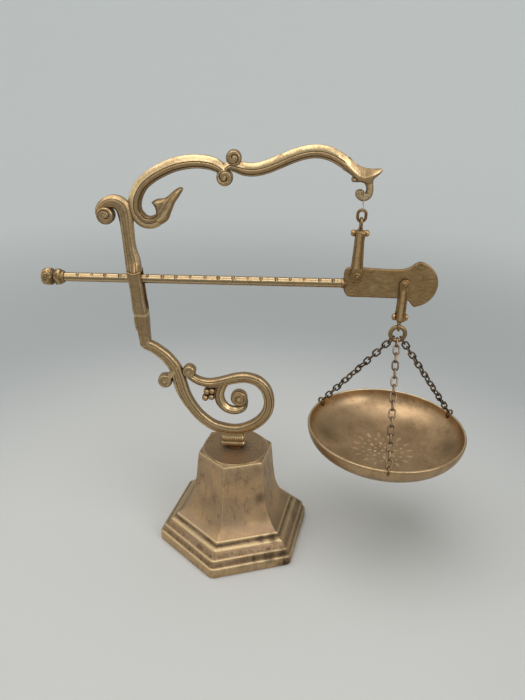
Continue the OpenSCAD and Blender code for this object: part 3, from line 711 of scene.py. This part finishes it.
# hook arm: moulded bar, volute, beaked head and hook
hookArm = {
    "bar": [
        [-9.5, 350.5, 5.5], [-5.5, 352.8, 8], [-1, 352, 9], [6, 350.2, 10], [14, 350.2, 10], [23, 352.6, 10],
        [33, 356.8, 10], [43, 361.2, 10], [53, 364.2, 10], [62, 364.9, 10], [71, 363.2, 10], [80, 358.8, 9.7],
        [85, 354.8, 9]],
    "head": [
        [84.3, 361.5], [87.4, 359.4], [90.5, 357.1], [94.5, 354.9], [99, 353.7], [103.5, 353.4], [108.2, 353.6],
        [110.9, 353.4], [110.2, 351.2], [107.9, 348.6], [105, 345.8], [104.4, 342.8], [101, 341.4], [98, 342.6],
        [95, 343.4], [91.6, 343.2], [88.6, 343.5], [87.9, 345.2], [88.3, 347.4], [84.5, 350.2], [80, 353.6]],
    "top": [[84.3, 361.5], [90.5, 357.1], [99, 353.7], [103.5, 353.4], [110.9, 353.4]],
    "crease": [
        [80.5, 358.6], [86, 354.4], [90, 350.8], [94, 348.2], [98.5, 347.2], [103, 348.4], [107, 350.6],
        [110.6, 353]],
    "headLines": [
        ([[88.2, 347], [90.6, 346.4], [92.2, 344.4]], .5, -.22),
        ([[81.5, 353.8], [86, 350.6], [89.6, 347.6]], .5, -.14)],
    "hook": [
        [100, 349.5, 7, 3.2], [101, 344.5, 7, 3.35], [102.4, 340.5, 5.6, 3.3], [102.7, 336.5, 5.6, 3.2],
        [101.6, 333.4, 6, 3.2], [98.6, 332, 6.4, 3.2], [95.6, 332.9, 6, 3.2], [93.9, 335, 4.4, 3],
        [94.6, 337, 2.6, 2.6]],
    "curls": [[-3, 358.5, 6, 1.5, -1, 5.2, 4.8, .16], [95.5, 335.1, 2.8, 1.2, -1, 2, 3.4, .22]],
}


# above the crease the head is one broad plane that leans back to the top edge
def headPlane(spots, depth):
    crease = np.array(hookArm["crease"], float)
    above = spots[:, 1] > np.interp(spots[:, 0], crease[:, 0], crease[:, 1])
    toTop, toCrease = (reach(spots, line[:-1], line[1:]) for line in (np.array(hookArm["top"], float), crease))
    plane = .3 + .56 * toTop / np.maximum(toTop + toCrease, 1e-6)
    own = .4 + .6 * np.sin(np.clip(depth / 2.2, 0, 1) * math.pi / 2)
    side = .94 - .07 * np.exp(-(toCrease / .6) ** 2) - own
    rise = np.where(above, plane - own, np.minimum(side, 0))
    # painted highlight along the crease above it, painted shade on the side below it
    wearAndPaintedLight = np.where(above, -.06 + .3 * np.exp(-(toCrease / .6) ** 2), -.3 * np.exp(-(toCrease / .8) ** 2) - .12)
    return rise, wearAndPaintedLight


def buildHookArm(look):
    shell = Shell()
    shell.band(look["bar"], moulded, 4.35, 9)
    shell.puff(look["head"], 4.45, 2.2, .4, look["headLines"], .5, 4, headPlane)
    shell.band(look["hook"], plain, 3.3, 8)
    for x, z, r, turns, spin, start, thick, cut in look["curls"]:
        shell.disc(x, z, r, thick, turns, spin, start, cut)
    return shell.build("hook_arm_cast", castBrass, "stand", ["hook_arm"])


buildHookArm(hookArm)
print("stage: hook arm built")


# beam: filed octagonal bar with notches, turned knob, brushed plate
beamBar = {"left": -146.5, "right": 89.5, "z": 257.6, "slope": .9, "flats": 7.2, "notches": 19, "first": 12.5,
           "pitch": 11.9,
           "cut": 1.7, "lift": .75, "lean": 32}


def buildBeamBar(look):
    shell = Shell()
    rise = math.tan(math.radians(look["slope"]))
    half = look["flats"] / 2
    corner = half * math.tan(math.pi / 8)
    leanUp, leanOut = math.cos(math.radians(look["lean"])), math.sin(math.radians(look["lean"]))
    crest = half * leanUp + corner * leanOut
    outline = []
    for k in range(8):
        a0 = math.pi / 8 + k * math.pi / 4
        a1 = a0 + math.pi / 4
        r = half / math.cos(math.pi / 8)
        p, q = (r * math.cos(a0), r * math.sin(a0)), (r * math.cos(a1), r * math.sin(a1))
        for t in (.06, .3, .5, .7, .94):
            outline.append((p[0] + (q[0] - p[0]) * t, p[1] + (q[1] - p[1]) * t, .95 if t in (.06, .94) else .5))
    rings, rub = [], []
    x = look["left"] - 2
    while x < look["right"] + 1e-6:
        along = x - look["left"]
        k = round((along - look["first"]) / look["pitch"])
        near = along - look["first"] - k * look["pitch"] - .5 * math.sin(k * 2.3)
        # the notches are filed across the top, leaning to the front
        top = 99
        if 0 <= k < look["notches"] and abs(near) < look["cut"]:
            top = crest + look["lift"] + .3 * math.sin(k * 1.7) - math.sqrt(look["cut"] ** 2 - near ** 2)
        ring, wearAndPaintedLight = [], []
        for y, z, wornAndPaintedLight in outline:
            over = z * leanUp - y * leanOut - top
            cut = over > 0
            wornAndPaintedLight = (.33 if cut else wornAndPaintedLight) if abs(near) < look["cut"] or k < 0 else wornAndPaintedLight
            # the edges of each notch are painted bright: rubbed and painted highlight
            if z > half - .2 and not cut and look["cut"] * .8 < abs(near) < look["cut"] + .7:
                wornAndPaintedLight = .95
            ring.append((x, y + max(0, over) * leanOut, look["z"] + rise * along + z - max(0, over) * leanUp))
            wearAndPaintedLight.append(wornAndPaintedLight)
        rings.append(ring[::-1])
        rub += wearAndPaintedLight[::-1]
        x += .25 if abs(near) < look["cut"] + .8 else .9
    shell.skin(rings, rub)
    return shell.build("beam_bar_filed", filedBrass, "beam", ["beam_bar"], 30)


knob = {
    "origin": (-146.5, 0, 257.6),
    # radius, distance from the bar, rub and painted light
    "profile": [
        (3.8, -1.2, .1), (4.6, -1, .6), (5.2, -.4, .8), (5.2, .2, .3), (5.5, .6, .2), (6.3, 1.4, .5), (6.9, 3, .7),
        (7, 4.4, .7), (6.6, 5.9, .5), (5.7, 7.2, .2), (5.2, 7.8, .04), (5.8, 8.5, .25), (6.8, 9.7, .6),
        (7.3, 11.2, .7), (7.5, 13, .7), (7.3, 14.6, .7), (6.9, 15.9, .8), (6.3, 16.9, .95), (5.6, 17.5, .9),
        (4.9, 17.6, .4), (4.5, 17.2, .05), (3.9, 17.2, .1), (3.5, 17.7, .8), (2.9, 17.9, .9), (2.4, 17.6, .3),
        (1.9, 17.5, .1), (1.3, 17.9, .7), (.4, 18.1, .9)],
}


def crossRelief(angle, r, h):
    if r < 5.9 or not (1 < h < 16.9):
        return 0, 0
    # two families of slanting cords cross at the waist, and a ringed medallion sits on the end lobe
    lean = (h - 7.9) * .27
    cords = max(abs(math.cos(2 * angle - lean)), abs(math.cos(2 * angle + lean))) ** 16
    away = (angle + math.pi / 4) % (math.pi / 2) - math.pi / 4
    ring = math.hypot(h - 13.1, away * 7.3)
    medal = math.cos(ring * 2.7) * (1 - cords) if ring < 4.4 else 0
    return .75 * cords - .3 + .2 * medal, .45 * cords - .3 + .3 * medal


def buildKnob(look):
    shell = Shell()
    slope = math.radians(beamBar["slope"])
    fine = []
    for one, two in zip(look["profile"], look["profile"][1:]):
        parts = max(1, round(abs(two[1] - one[1]) / .4))
        fine += [tuple(a + (b - a) * j / parts for a, b in zip(one, two)) for j in range(parts)]
    fine.append(look["profile"][-1])
    shell.lathe(look["origin"], (-math.cos(slope), 0, -math.sin(slope)), fine, 128, crossRelief, (0, -.95, .3))
    return shell.build("beam_knob_turned", turnedBrass, "beam", ["beam_knob"], 50)


plate = {
    "outline": [
        [88.6, 263.8], [88.4, 270], [89.6, 273.4], [92.5, 275], [98, 275.4], [109, 275.0], [120, 274.6],
        [128, 274.5], [134, 274.8], [138.5, 275.6], [142.3, 277.4], [145.4, 279.9], [149.0, 281.7], [152.5, 281.1],
        [156.2, 279.4], [160.3, 276.2], [163.4, 272.1], [165.4, 267.3], [166, 262.5], [165.4, 257.7],
        [163.4, 252.8], [160.3, 248.8], [156.2, 245.6], [151.6, 243.7], [148.6, 243.2], [146.0, 245.4],
        [143.8, 248.0], [141, 249.3], [137, 250], [123, 250], [109, 250], [95, 250], [91.4, 251.6], [88.8, 256.6]],
    "hub": (127, 262.5), "ribs": 58, "thick": 1.65,
}


# ribs fanning out to the round end, a shell swirl and faint brushing lines at the bar's end
def plateRelief(spots, depth):
    hubX, hubZ = plate["hub"]
    dx, dz = spots[:, 0] - hubX, spots[:, 1] - hubZ
    far = np.hypot(dx, dz)
    fan = np.clip((far - 9) / 6, 0, 1) * np.clip((spots[:, 0] - 138) / 7, 0, 1)
    fan = fan * np.clip(depth / 2, 0, 1)
    rib = np.cos(np.arctan2(dz, dx) * plate["ribs"]) * fan
    sx, sz = spots[:, 0] - 97.5, spots[:, 1] - 257.5
    swirlAt = np.hypot(sx, sz)
    swirl = np.cos(swirlAt * 2.3 + 1.5 * np.arctan2(sz, sx) * 2) * np.clip((7.5 - swirlAt) / 3, 0, 1)
    swirl = swirl * np.clip(depth / 1.5, 0, 1)
    return .007 * rib + .012 * swirl, .03 * rib + .06 * swirl


def buildPlate(look):
    shell = Shell()
    shell.puff(look["outline"], look["thick"], 1.1, .62, (), .5, 5, plateRelief)
    # turned seat where the bar runs into the plate
    shell.lathe((86.2, 0, 261.3), (1, 0, .0157), [(3.2, 0, .1), (3.9, .3, .7), (4.3, 1, .9), (4.3, 1.9, .8),
                                                  (3.8, 2.6, .4), (3.0, 4.4, .5),
                                                 (1.2, 7, .5)], 40)
    return shell.build("beam_plate_brushed", plateBrass, "beam", ["beam_plate"])


buildBeamBar(beamBar)
buildKnob(knob)
buildPlate(plate)
print("stage: beam built")


# shackles, pins, eyes and rings
fittings = {
    # tapered legs with round bosses: outline [x from the centre, height]
    "upperLeg": [
        [-3.2, 304.8], [3.2, 304.8], [3.5, 296], [4.1, 282], [4.7, 272.4], [5.2, 268.5], [4.5, 265.6],
        [2.4, 263.8], [0, 263.3], [-2.4, 263.8], [-4.5, 265.6], [-5.2, 268.5], [-4.7, 272.4], [-4.1, 282],
        [-3.5, 296]],
    "upperRidge": [
        ([[-.9, 303], [-1.1, 290], [-1.5, 276]], 1.0, .24), ([[1.6, 303], [1.9, 290], [2.2, 276]], .6, -.24),
        ([[0, 264.9], [2.9, 266.3],
          [3.7, 269], [2.2, 272], [-1.1, 272.4], [-3.5, 270.2], [-3.3, 266.8], [0, 264.9]], .5, -.16)],
    "lowerLeg": [
        [-3.4, 231], [3.6, 231], [3.5, 240], [3.5, 250], [3.7, 257.5], [4.2, 262.8], [3.6, 265.2], [2, 266.7],
        [0, 267.1], [-2, 266.7], [-3.6, 265.2], [-4.2, 262.8], [-3.7, 257.5], [-3.4, 250], [-3.4, 240]],
    "lowerRidge": [
        ([[-.6, 233], [-.7, 245], [-.7, 257]], .9, .24), ([[1.7, 233], [1.8, 245], [1.8, 257]], .6, -.24),
        ([[0, 259.9], [2.4, 261.2], [2.9, 263.2],
          [1.6, 265.3], [-1.2, 265.5], [-2.8, 263.8], [-2.4, 261], [0, 259.9]], .45, -.16)],
    "upperBar": mirrored([
        (.3, -7.45, .5), (1.3, -7.3, .8), (2.1, -6.9, .9), (2.55, -6.2, .9), (2.7, -5.4, .85), (2.65, -4.6, .7),
        (2.5, -3.9, .5), (2.4, -3, .5)], 1),
    "lowerBar": mirrored([
        (.3, -6.95, .5), (1.4, -6.8, .8), (2.3, -6.4, .9), (2.8, -5.7, .9), (2.95, -5, .85), (2.9, -4.3, .7),
        (2.75, -3.7, .5), (2.6, -3, .5)], 1),
    "legAt": 3.9, "legHalf": 1.2,
    "pinHead": [
        (1, 0, .1), (.98, .1, .3), (1, .35, .8), (.94, .85, .95), (.8, 1.12, .9), (.68, 1.0, .3), (.6, .85, .04),
        (.5, .95, .2), (.42, 1.2, .8), (.22, 1.32, .9), (.05, 1.34, .9)],
}


def buildShackle(which, x, barZ, body):
    shell = Shell()
    outline = [[x + p[0], p[1]] for p in fittings[which + "Leg"]]
    lines = [([[x + p[0], p[1]] for p in line], width, rise) for line, width, rise in fittings[which + "Ridge"]]
    for face in (-1, 1):
        shell.puff(outline, fittings["legHalf"], 1.5, .45, lines, .5, 4, yShift=face * fittings["legAt"])
    shell.lathe((x, 0, barZ), (1, 0, 0), fittings[which + "Bar"], 40)
    # yoke that joins the two legs under the turned bar
    rings = [blockRing(x, 2.9, 4.9, barZ + h, 64, 6) for h in (-2.2, -1.9, 1.9, 2.2)]
    rings = [[(x + (p[0] - x) * k, p[1] * k, p[2]) for p in ring] for ring, k in zip(rings, (.93, 1, 1, .93))]
    shell.skin([r[::-1] for r in rings], [.6] * 256)
    return shell.build(which + "_shackle_filed", forgedBrass, body, [which + "_shackle"])


def buildPin(name, x, z, r, headR, body, node):
    shell = Shell()
    shell.lathe((x, -5.2, z), (0, 1, 0), [(r, 0, .4), (r, 10.4, .4)], 32)
    head = [(p[0] * headR, p[1] * .75, p[2] * .75) for p in fittings["pinHead"]]
    for face in (-1, 1):
        shell.lathe((x, face * 5, z), (0, face, 0), head, 40)
    return shell.build(name, forgedBrass, body, [node])


def circlePath(centre, u, v, r, count=56, turn=fullTurn, start=0.0):
    u, v = Vector(u), Vector(v)
    return [Vector(centre) + (u * math.cos(start + turn * j / count) + v * math.sin(start + turn * j / count)) * r
            for j in range(count)]


def ovalPath(length, width, radius, count=11):
    r, half = (width + radius * 2) / 2, (length - width) / 2
    path = [Vector((r * math.cos(math.pi * j / count), 0,
                    half + r * math.sin(math.pi * j / count))) for j in range(count + 1)]
    return path + [Vector((-r * math.cos(math.pi * j / count), 0, -half - r * math.sin(math.pi * j / count)))
                   for j in range(count + 1)]


buildShackle("upper", 98.5, 303.5, "upper_hanger")
buildShackle("lower", 138.5, 233.1, "pan_shackle")
buildPin("upper_pin_turned", 98.5, 268.5, 2, 3.2, "upper_hanger", "upper_pin")
buildPin("lower_pin_turned", 138.5, 262.8, 1.8, 2.8, "pan_shackle", "lower_pin")

# bent eyes: middle x and z, radius, wire radius, where the turned stem starts and ends, body
eyes = {
    "upper_eye": (98.5, 311.75, 3.7, 1.15, 308.2, 300.5, "upper_hanger"),
    "lower_eye": (138.5, 224.05, 3.05, .95, 227.0, 237.9, "pan_eye"),
}


def buildEye(name, x, z, r, wire, stemFrom, stemTo, body):
    shell = Shell()
    shell.wire(circlePath((x, 0, z), (0, 1, 0), (0, 0, 1), r, 48), wire, closed=True, rub=.6)
    long = abs(stemTo - stemFrom)
    stem = [(1, -.8, .3), (1.6, -.2, .5), (1.85, .6, .8), (1.75, 1.4, .6), (1.7, 2.2, .5), (1.75, long - .8, .5),
            (1.8, long - .7, .8), (1.8, long, .8), (.8, long + .1, .6)]
    shell.lathe((x, 0, stemFrom), (0, 0, 1 if stemTo > stemFrom else -1), stem, 28)
    return shell.build(name + "_bent", turnedBrass, body, [name])


# closed wires: path, wire radius, sides, rub and painted light, surface, body, slot, node
wires = {
    "top_link_bent": ([p + Vector((98.5, 0, 317.5)) for p in ovalPath(6.6, 4.1, 1.2)], 1.2, 16, .5,
                      hookBrass, "link_set", "dark_brass", "top_link"),
    "pan_ring_turned": (circlePath((138.5, 0, 217.8), (1, 0, 0), (0, 0, 1), 6.25, 72), 1.85, 20, .55,
                        turnedBrass, "ring", "turned_brass", "pan_ring"),
}
for wireName, (path, wireR, sides, wornAndPaintedLight, surface, body, slot, node) in wires.items():
    wireShell = Shell()
    wireShell.wire(path, wireR, closed=True, sides=sides, rub=wornAndPaintedLight)
    wireShell.build(wireName, surface, body, [node])
for eyeName, sizes in eyes.items():
    buildEye(eyeName, *sizes)
print("stage: fittings built")


# chains and rim hooks
chains = {
    "pan": (138.5, 0, 217.8), "ringR": 6.25, "ringWire": 3.3, "rimHookR": 3.3, "hookWire": 1.4, "hookCentreR": 70.8,
    "hookCentreZ": 125.3, "gapL": 7.1, "gapW": 3.6, "wire": 1.3, "links": 16,
    # name: direction round the pan, place round the ring from the bottom, surface
    "left": (143.8, -40, chainBrass), "right": (23.8, 40, chainBrass), "front": (263.8, 0, chainCopper),
}


def buildChain(side, look):
    rim, place, surface = look[side]
    rng = random.Random(side)
    rimA, placeA = math.radians(rim), math.radians(place)
    px, _, pz = look["pan"]
    top = Vector((px + look["ringR"] * math.sin(placeA), 0, pz - look["ringR"] * math.cos(placeA)))
    centre = Vector((px + look["hookCentreR"] * math.cos(rimA), look["hookCentreR"] * math.sin(rimA),
                     look["hookCentreZ"]))
    end = centre + (top - centre).normalized() * look["rimHookR"]
    way = end - top
    turn = math.atan2(way.y, way.x)
    lean = math.atan2(math.hypot(way.x, way.y), -way.z)
    wireWay = Vector((math.cos(placeA), 0, math.sin(placeA)))
    across = Vector((-math.sin(turn), math.cos(turn), 0))
    outward = Vector((math.cos(turn) * math.cos(lean), math.sin(turn) * math.cos(lean), math.sin(lean)))
    raw = math.atan2(wireWay.dot(outward), wireWay.dot(across))
    roll = math.pi - raw if raw > math.pi / 2 else -raw
    first = look["gapL"] / 2 - look["ringWire"] / 2 - .2
    last = look["gapL"] / 2 - look["hookWire"] / 2 - .15
    pitch = (way.length - first - last) / (look["links"] - 1)
    spine = Matrix.Translation(top) @ Matrix.Rotation(turn, 4, "Z") @ Matrix.Rotation(-lean, 4, "Y")
    oval = ovalPath(look["gapL"], look["gapW"], look["wire"] / 2)
    shell = Shell()
    for i in range(look["links"]):
        angle = roll * (1 - i / (look["links"] - 1)) + math.pi / 2 * i + math.radians(rng.uniform(-5, 5))
        place = spine @ Matrix.Translation((0, 0, -first - i * pitch)) @ Matrix.Rotation(angle, 4, "Z")
        place = place @ Matrix.Rotation(math.radians(rng.uniform(-2, 2)), 4, "Y")
        grow = rng.uniform(.98, 1.02)
        path = [place @ Vector((p.x * grow, p.y, p.z)) for p in oval]
        shell.wire(path, look["wire"] / 2 + .14, closed=True, rub=.3 + .4 * rng.random())
    shell.build("chain_%s_links" % side, surface, "pan_set", ["chain_" + side])
    # bent hook through the rim, its tail turned down inside the bowl
    outwards = Vector((math.cos(rimA), math.sin(rimA), 0))
    hook = Shell()
    path = circlePath(centre, outwards, (0, 0, 1), look["rimHookR"], 40, math.radians(300), math.radians(-95))
    tail = path[-1]
    path += [tail + outwards * (.25 * k) + Vector((0, 0, -.95 * k)) for k in (1, 2, 3, 4)]
    hook.wire(path, .9, rub=.5)
    hook.build("rim_hook_%s_bent" % side, hookBrass, "pan_set", ["rim_hook_" + side])


for side in ("left", "right", "front"):
    buildChain(side, chains)
print("stage: chains built")


# pan: spun bowl with a rolled rim and a stamped rosette
pan = {
    "x": 138.5, "rimZ": 125.5, "r": 71.8, "depth": 29, "sheet": 2, "power": 2.35, "count": 400,
    "rim": [
        (69.9, 125.2, .6), (70.05, 125.7, 1.1), (70.4, 125.95, 1.1), (71, 125.9, .5), (71.6, 125.6, .35),
        (71.9, 124.9, .4), (71.75, 124, .2)],
    # rosette rings: radius, marks, half length, half width, rise, turn
    "rosette": [
        (25.5, 16, 3.6, 1.6, .42, 0), (18.4, 16, 1.7, 1.6, .36, .5), (12, 8, 2.5, 1.6, .48, 0),
        (12, 8, 1.3, 1.1, .35, .5), (6.8, 8, 1.5, 1.2, .5, .25), (0, 1, 1.8, 2, .55, 0)],
}


def rosetteRise(r, angle):
    rise = 0
    for at, marks, halfLong, halfWide, high, shift in pan["rosette"]:
        if at == 0:
            rise += high * math.exp(-(r / halfLong) ** 2)
            continue
        step = fullTurn / marks
        away = (angle / step - shift + .5) % 1 - .5
        rise += high * math.exp(-((r - at) / halfLong) ** 4 - (away * step * r / halfWide) ** 2)
    return rise


def buildPan(look):
    shell = Shell()
    inside, deep = look["r"] - look["sheet"], look["depth"] - look["sheet"]
    # rings lie close together over the rosette and at the rim
    radii = [.15] + [.5 * k for k in range(1, 62)] + [31 + 1.3 * k for k in range(27)]
    radii += [66.3, 67.2, 68, 68.7, 69.2, 69.6, 69.75]
    rings, rub = [], []
    for r in radii:
        z = look["rimZ"] - deep * (1 - min(1, r / inside) ** look["power"]) ** (1 / look["power"])
        ring = []
        for j in range(look["count"]):
            a = fullTurn * j / look["count"]
            rise = rosetteRise(r, a) if r < 31 else 0
            dent = .12 * math.sin(3 * a + r * .11) + .08 * math.sin(7 * a - r * .17)
            ring.append((look["x"] + r * math.cos(a), r * math.sin(a), z + rise + dent * min(1, r / 20)))
            # raised rosette marks are painted lighter: rubbed and painted highlight
            rub.append(min(1, .4 + 1.1 * max(0, rise) * (r < 31)))
        rings.append(ring)
    for r, z, wornAndPaintedLight in look["rim"]:
        rings.append(levelCircle(look["x"], r, z, look["count"]))
        rub += [wornAndPaintedLight] * look["count"]
    for k in range(1, 41):
        a = math.pi / 2 * k / 41
        r = look["r"] * math.cos(a) ** (2 / look["power"])
        z = look["rimZ"] - look["depth"] * math.sin(a) ** (2 / look["power"])
        if z > 123.9:
            continue
        rings.append(levelCircle(look["x"], r, z, look["count"]))
        rub += [.45] * look["count"]
    shell.skin(rings, rub)
    return shell.build("pan_spun", spunBrass, "pan_set", ["pan"], 60)


buildPan(pan)
print("stage: pan built")


# pressed wool felt: matte green with short fibres, drawn coarser than real wool so that they show
def feltSurface():
    material, tree = newSurface("wool_felt_green")
    coords = put(tree, "TexCoord", {}, "Object")
    fibre = put(tree, "TexNoise", {"Vector": coords, "Scale": 1000 / .35, "Detail": 6, "Roughness": .7}, "Fac")
    colour = put(tree, "Mix", {0: fibre, 6: linear("16301f"), 7: linear("345540")}, **colours)
    bump = put(tree, "Bump", {"Strength": .6, "Distance": .2 * mm, "Height": fibre})
    shader = put(tree, "BsdfPrincipled", {"Base Color": colour, "Roughness": .95, "Normal": bump, "Sheen Weight": .4})
    put(tree, "OutputMaterial", {"Surface": shader})
    return material


# small fittings that keep their own shape
kept = {"base_pad": feltSurface(), "foot_stud": darkBrassAndShadow, "stud_washer": smallBrass, "stud_nut": darkBrassAndShadow,
        # the neck washer's dark brown is partly painted shadow under the foot block
        "neck_washer": darkBrassAndShadow,
        "column_dowel": darkBrassAndShadow, "arm_dowel": darkBrassAndShadow, "wire_loop": wireSurface}
for nodeName, surface in kept.items():
    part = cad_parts[nodeName]
    part.data.materials.clear()
    part.data.materials.append(surface)
    if nodeName in ("stud_nut", "stud_washer", "neck_washer"):
        soften = part.modifiers.new("soft_edges", "BEVEL")
        soften.width = .35 * mm
        soften.segments = 2
        soften.limit_method = "ANGLE"
print("stage: kept parts finished")


# backdrop, lights and camera
backdrop = {
    # floor radius, bend up to the wall, wall height; the same from every side
    "flat": 2300, "bend": 900, "top": 3200, "sides": 128,
    "low": "bcbcb9", "middle": "a6a9a9", "high": "d0d3d2", "glow": .3,
}


# round room of matte paper, its grey painted with light and shade: a painted pool of light on the floor under the
# scale, painted shade greyer behind it, and a wall painted lighter
def buildBackdrop(look):
    profile = [(10 * 1.32 ** j, 0) for j in range(20)] + [(look["flat"], 0)]
    profile += [(look["flat"] + look["bend"] * math.sin(a), look["bend"] * (1 - math.cos(a)))
                for a in (math.pi / 2 * j / 24 for j in range(1, 25))]
    profile.append((look["flat"] + look["bend"], look["top"]))
    count = look["sides"]
    points = [p for r, z in profile for p in levelCircle(0, r * mm, z * mm, count)]
    faces = [tuple(range(count))] + ringFaces(len(profile), count)
    mesh = bpy.data.meshes.new("backdrop")
    mesh.from_pydata(points, [], faces)
    mesh.shade_smooth()
    # matte paper: no shine, and a painted glow far from the lamps, where the paper gives out light of its own though
    # it is no lamp
    material, tree = newSurface("matte_paper_backdrop")
    far = put(tree, "VectorMath", {0: put(tree, "TexCoord", {}, "Object")}, "Value", operation="LENGTH")
    paintedShadeBehind = put(tree, "MapRange", {0: far, 1: .2, 2: .55}, **eased)
    paintedLightWall = put(tree, "MapRange", {0: far, 1: .6, 2: 2.4}, **eased)
    glow = put(tree, "MapRange", {0: far, 1: .45, 2: 1.5, 4: look["glow"]}, **eased)
    colour = put(tree, "Mix", {0: paintedShadeBehind, 6: linear(look["low"]), 7: linear(look["middle"])}, **colours)
    colour = put(tree, "Mix", {0: paintedLightWall, 6: colour, 7: linear(look["high"])}, **colours)
    shader = put(tree, "BsdfPrincipled", {"Base Color": colour, "Roughness": .9, "Specular IOR Level": .1,
                                          "Emission Color": linear(look["high"]), "Emission Strength": glow})
    put(tree, "OutputMaterial", {"Surface": shader})
    mesh.materials.append(material)
    obj = bpy.data.objects.new("backdrop", mesh)
    scene.collection.objects.link(obj)


buildBackdrop(backdrop)

# soft box: place, aim, size and strength in watts
lights = {
    "ceiling_soft": ((-150, -150, 1300), (0, 0, 150), 1300, 12.2),
    "right_soft": ((900, -700, 900), (60, 0, 200), 800, 6),
    "left_soft": ((-1000, -100, 800), (0, 0, 250), 1100, 2.6),
}
for lightName, (place, aim, size, watts) in lights.items():
    lamp = bpy.data.lights.new(lightName, "AREA")
    lamp.shape = "SQUARE"
    lamp.size = size * mm
    lamp.energy = watts
    holder = bpy.data.objects.new(lightName, lamp)
    holder.location = Vector(place) * mm
    holder.rotation_euler = (Vector(aim) - Vector(place)).to_track_quat("-Z", "Y").to_euler()
    scene.collection.objects.link(holder)

# even light from all round
room = {"colour": "dadad8", "strength": .42}
world = bpy.data.worlds.new("room")
world.use_nodes = True
air = world.node_tree.nodes["Background"].inputs
air["Color"].default_value, air["Strength"].default_value = linear(room["colour"]), room["strength"]
scene.world = world
scene.view_settings.view_transform = "Standard"

# place, level direction, tilt and roll in degrees, lens and sensor in mm
view = {"place": (39.15, -477.95, 418), "ahead": (-.03385, .99943), "down": 24.79, "roll": 1.57, "lens": 30.87,
        "sensor": 36, "nearest": 10}
down, roll = math.radians(view["down"]), math.radians(view["roll"])
forward = Vector((view["ahead"][0] * math.cos(down), view["ahead"][1] * math.cos(down), -math.sin(down)))
level = Vector((view["ahead"][1], -view["ahead"][0], 0))
above = level.cross(forward)
right = level * math.cos(roll) + above * math.sin(roll)
up = above * math.cos(roll) - level * math.sin(roll)
camera = bpy.data.objects.new("camera", bpy.data.cameras.new("camera"))
camera.data.lens = view["lens"]
camera.data.sensor_width = view["sensor"]
camera.data.clip_start = view["nearest"] * mm
aimed = Matrix((right, up, -forward)).transposed().to_4x4()
camera.matrix_world = Matrix.Translation(Vector(view["place"]) * mm) @ aimed
scene.collection.objects.link(camera)
scene.camera = camera
print("stage: light and camera set")
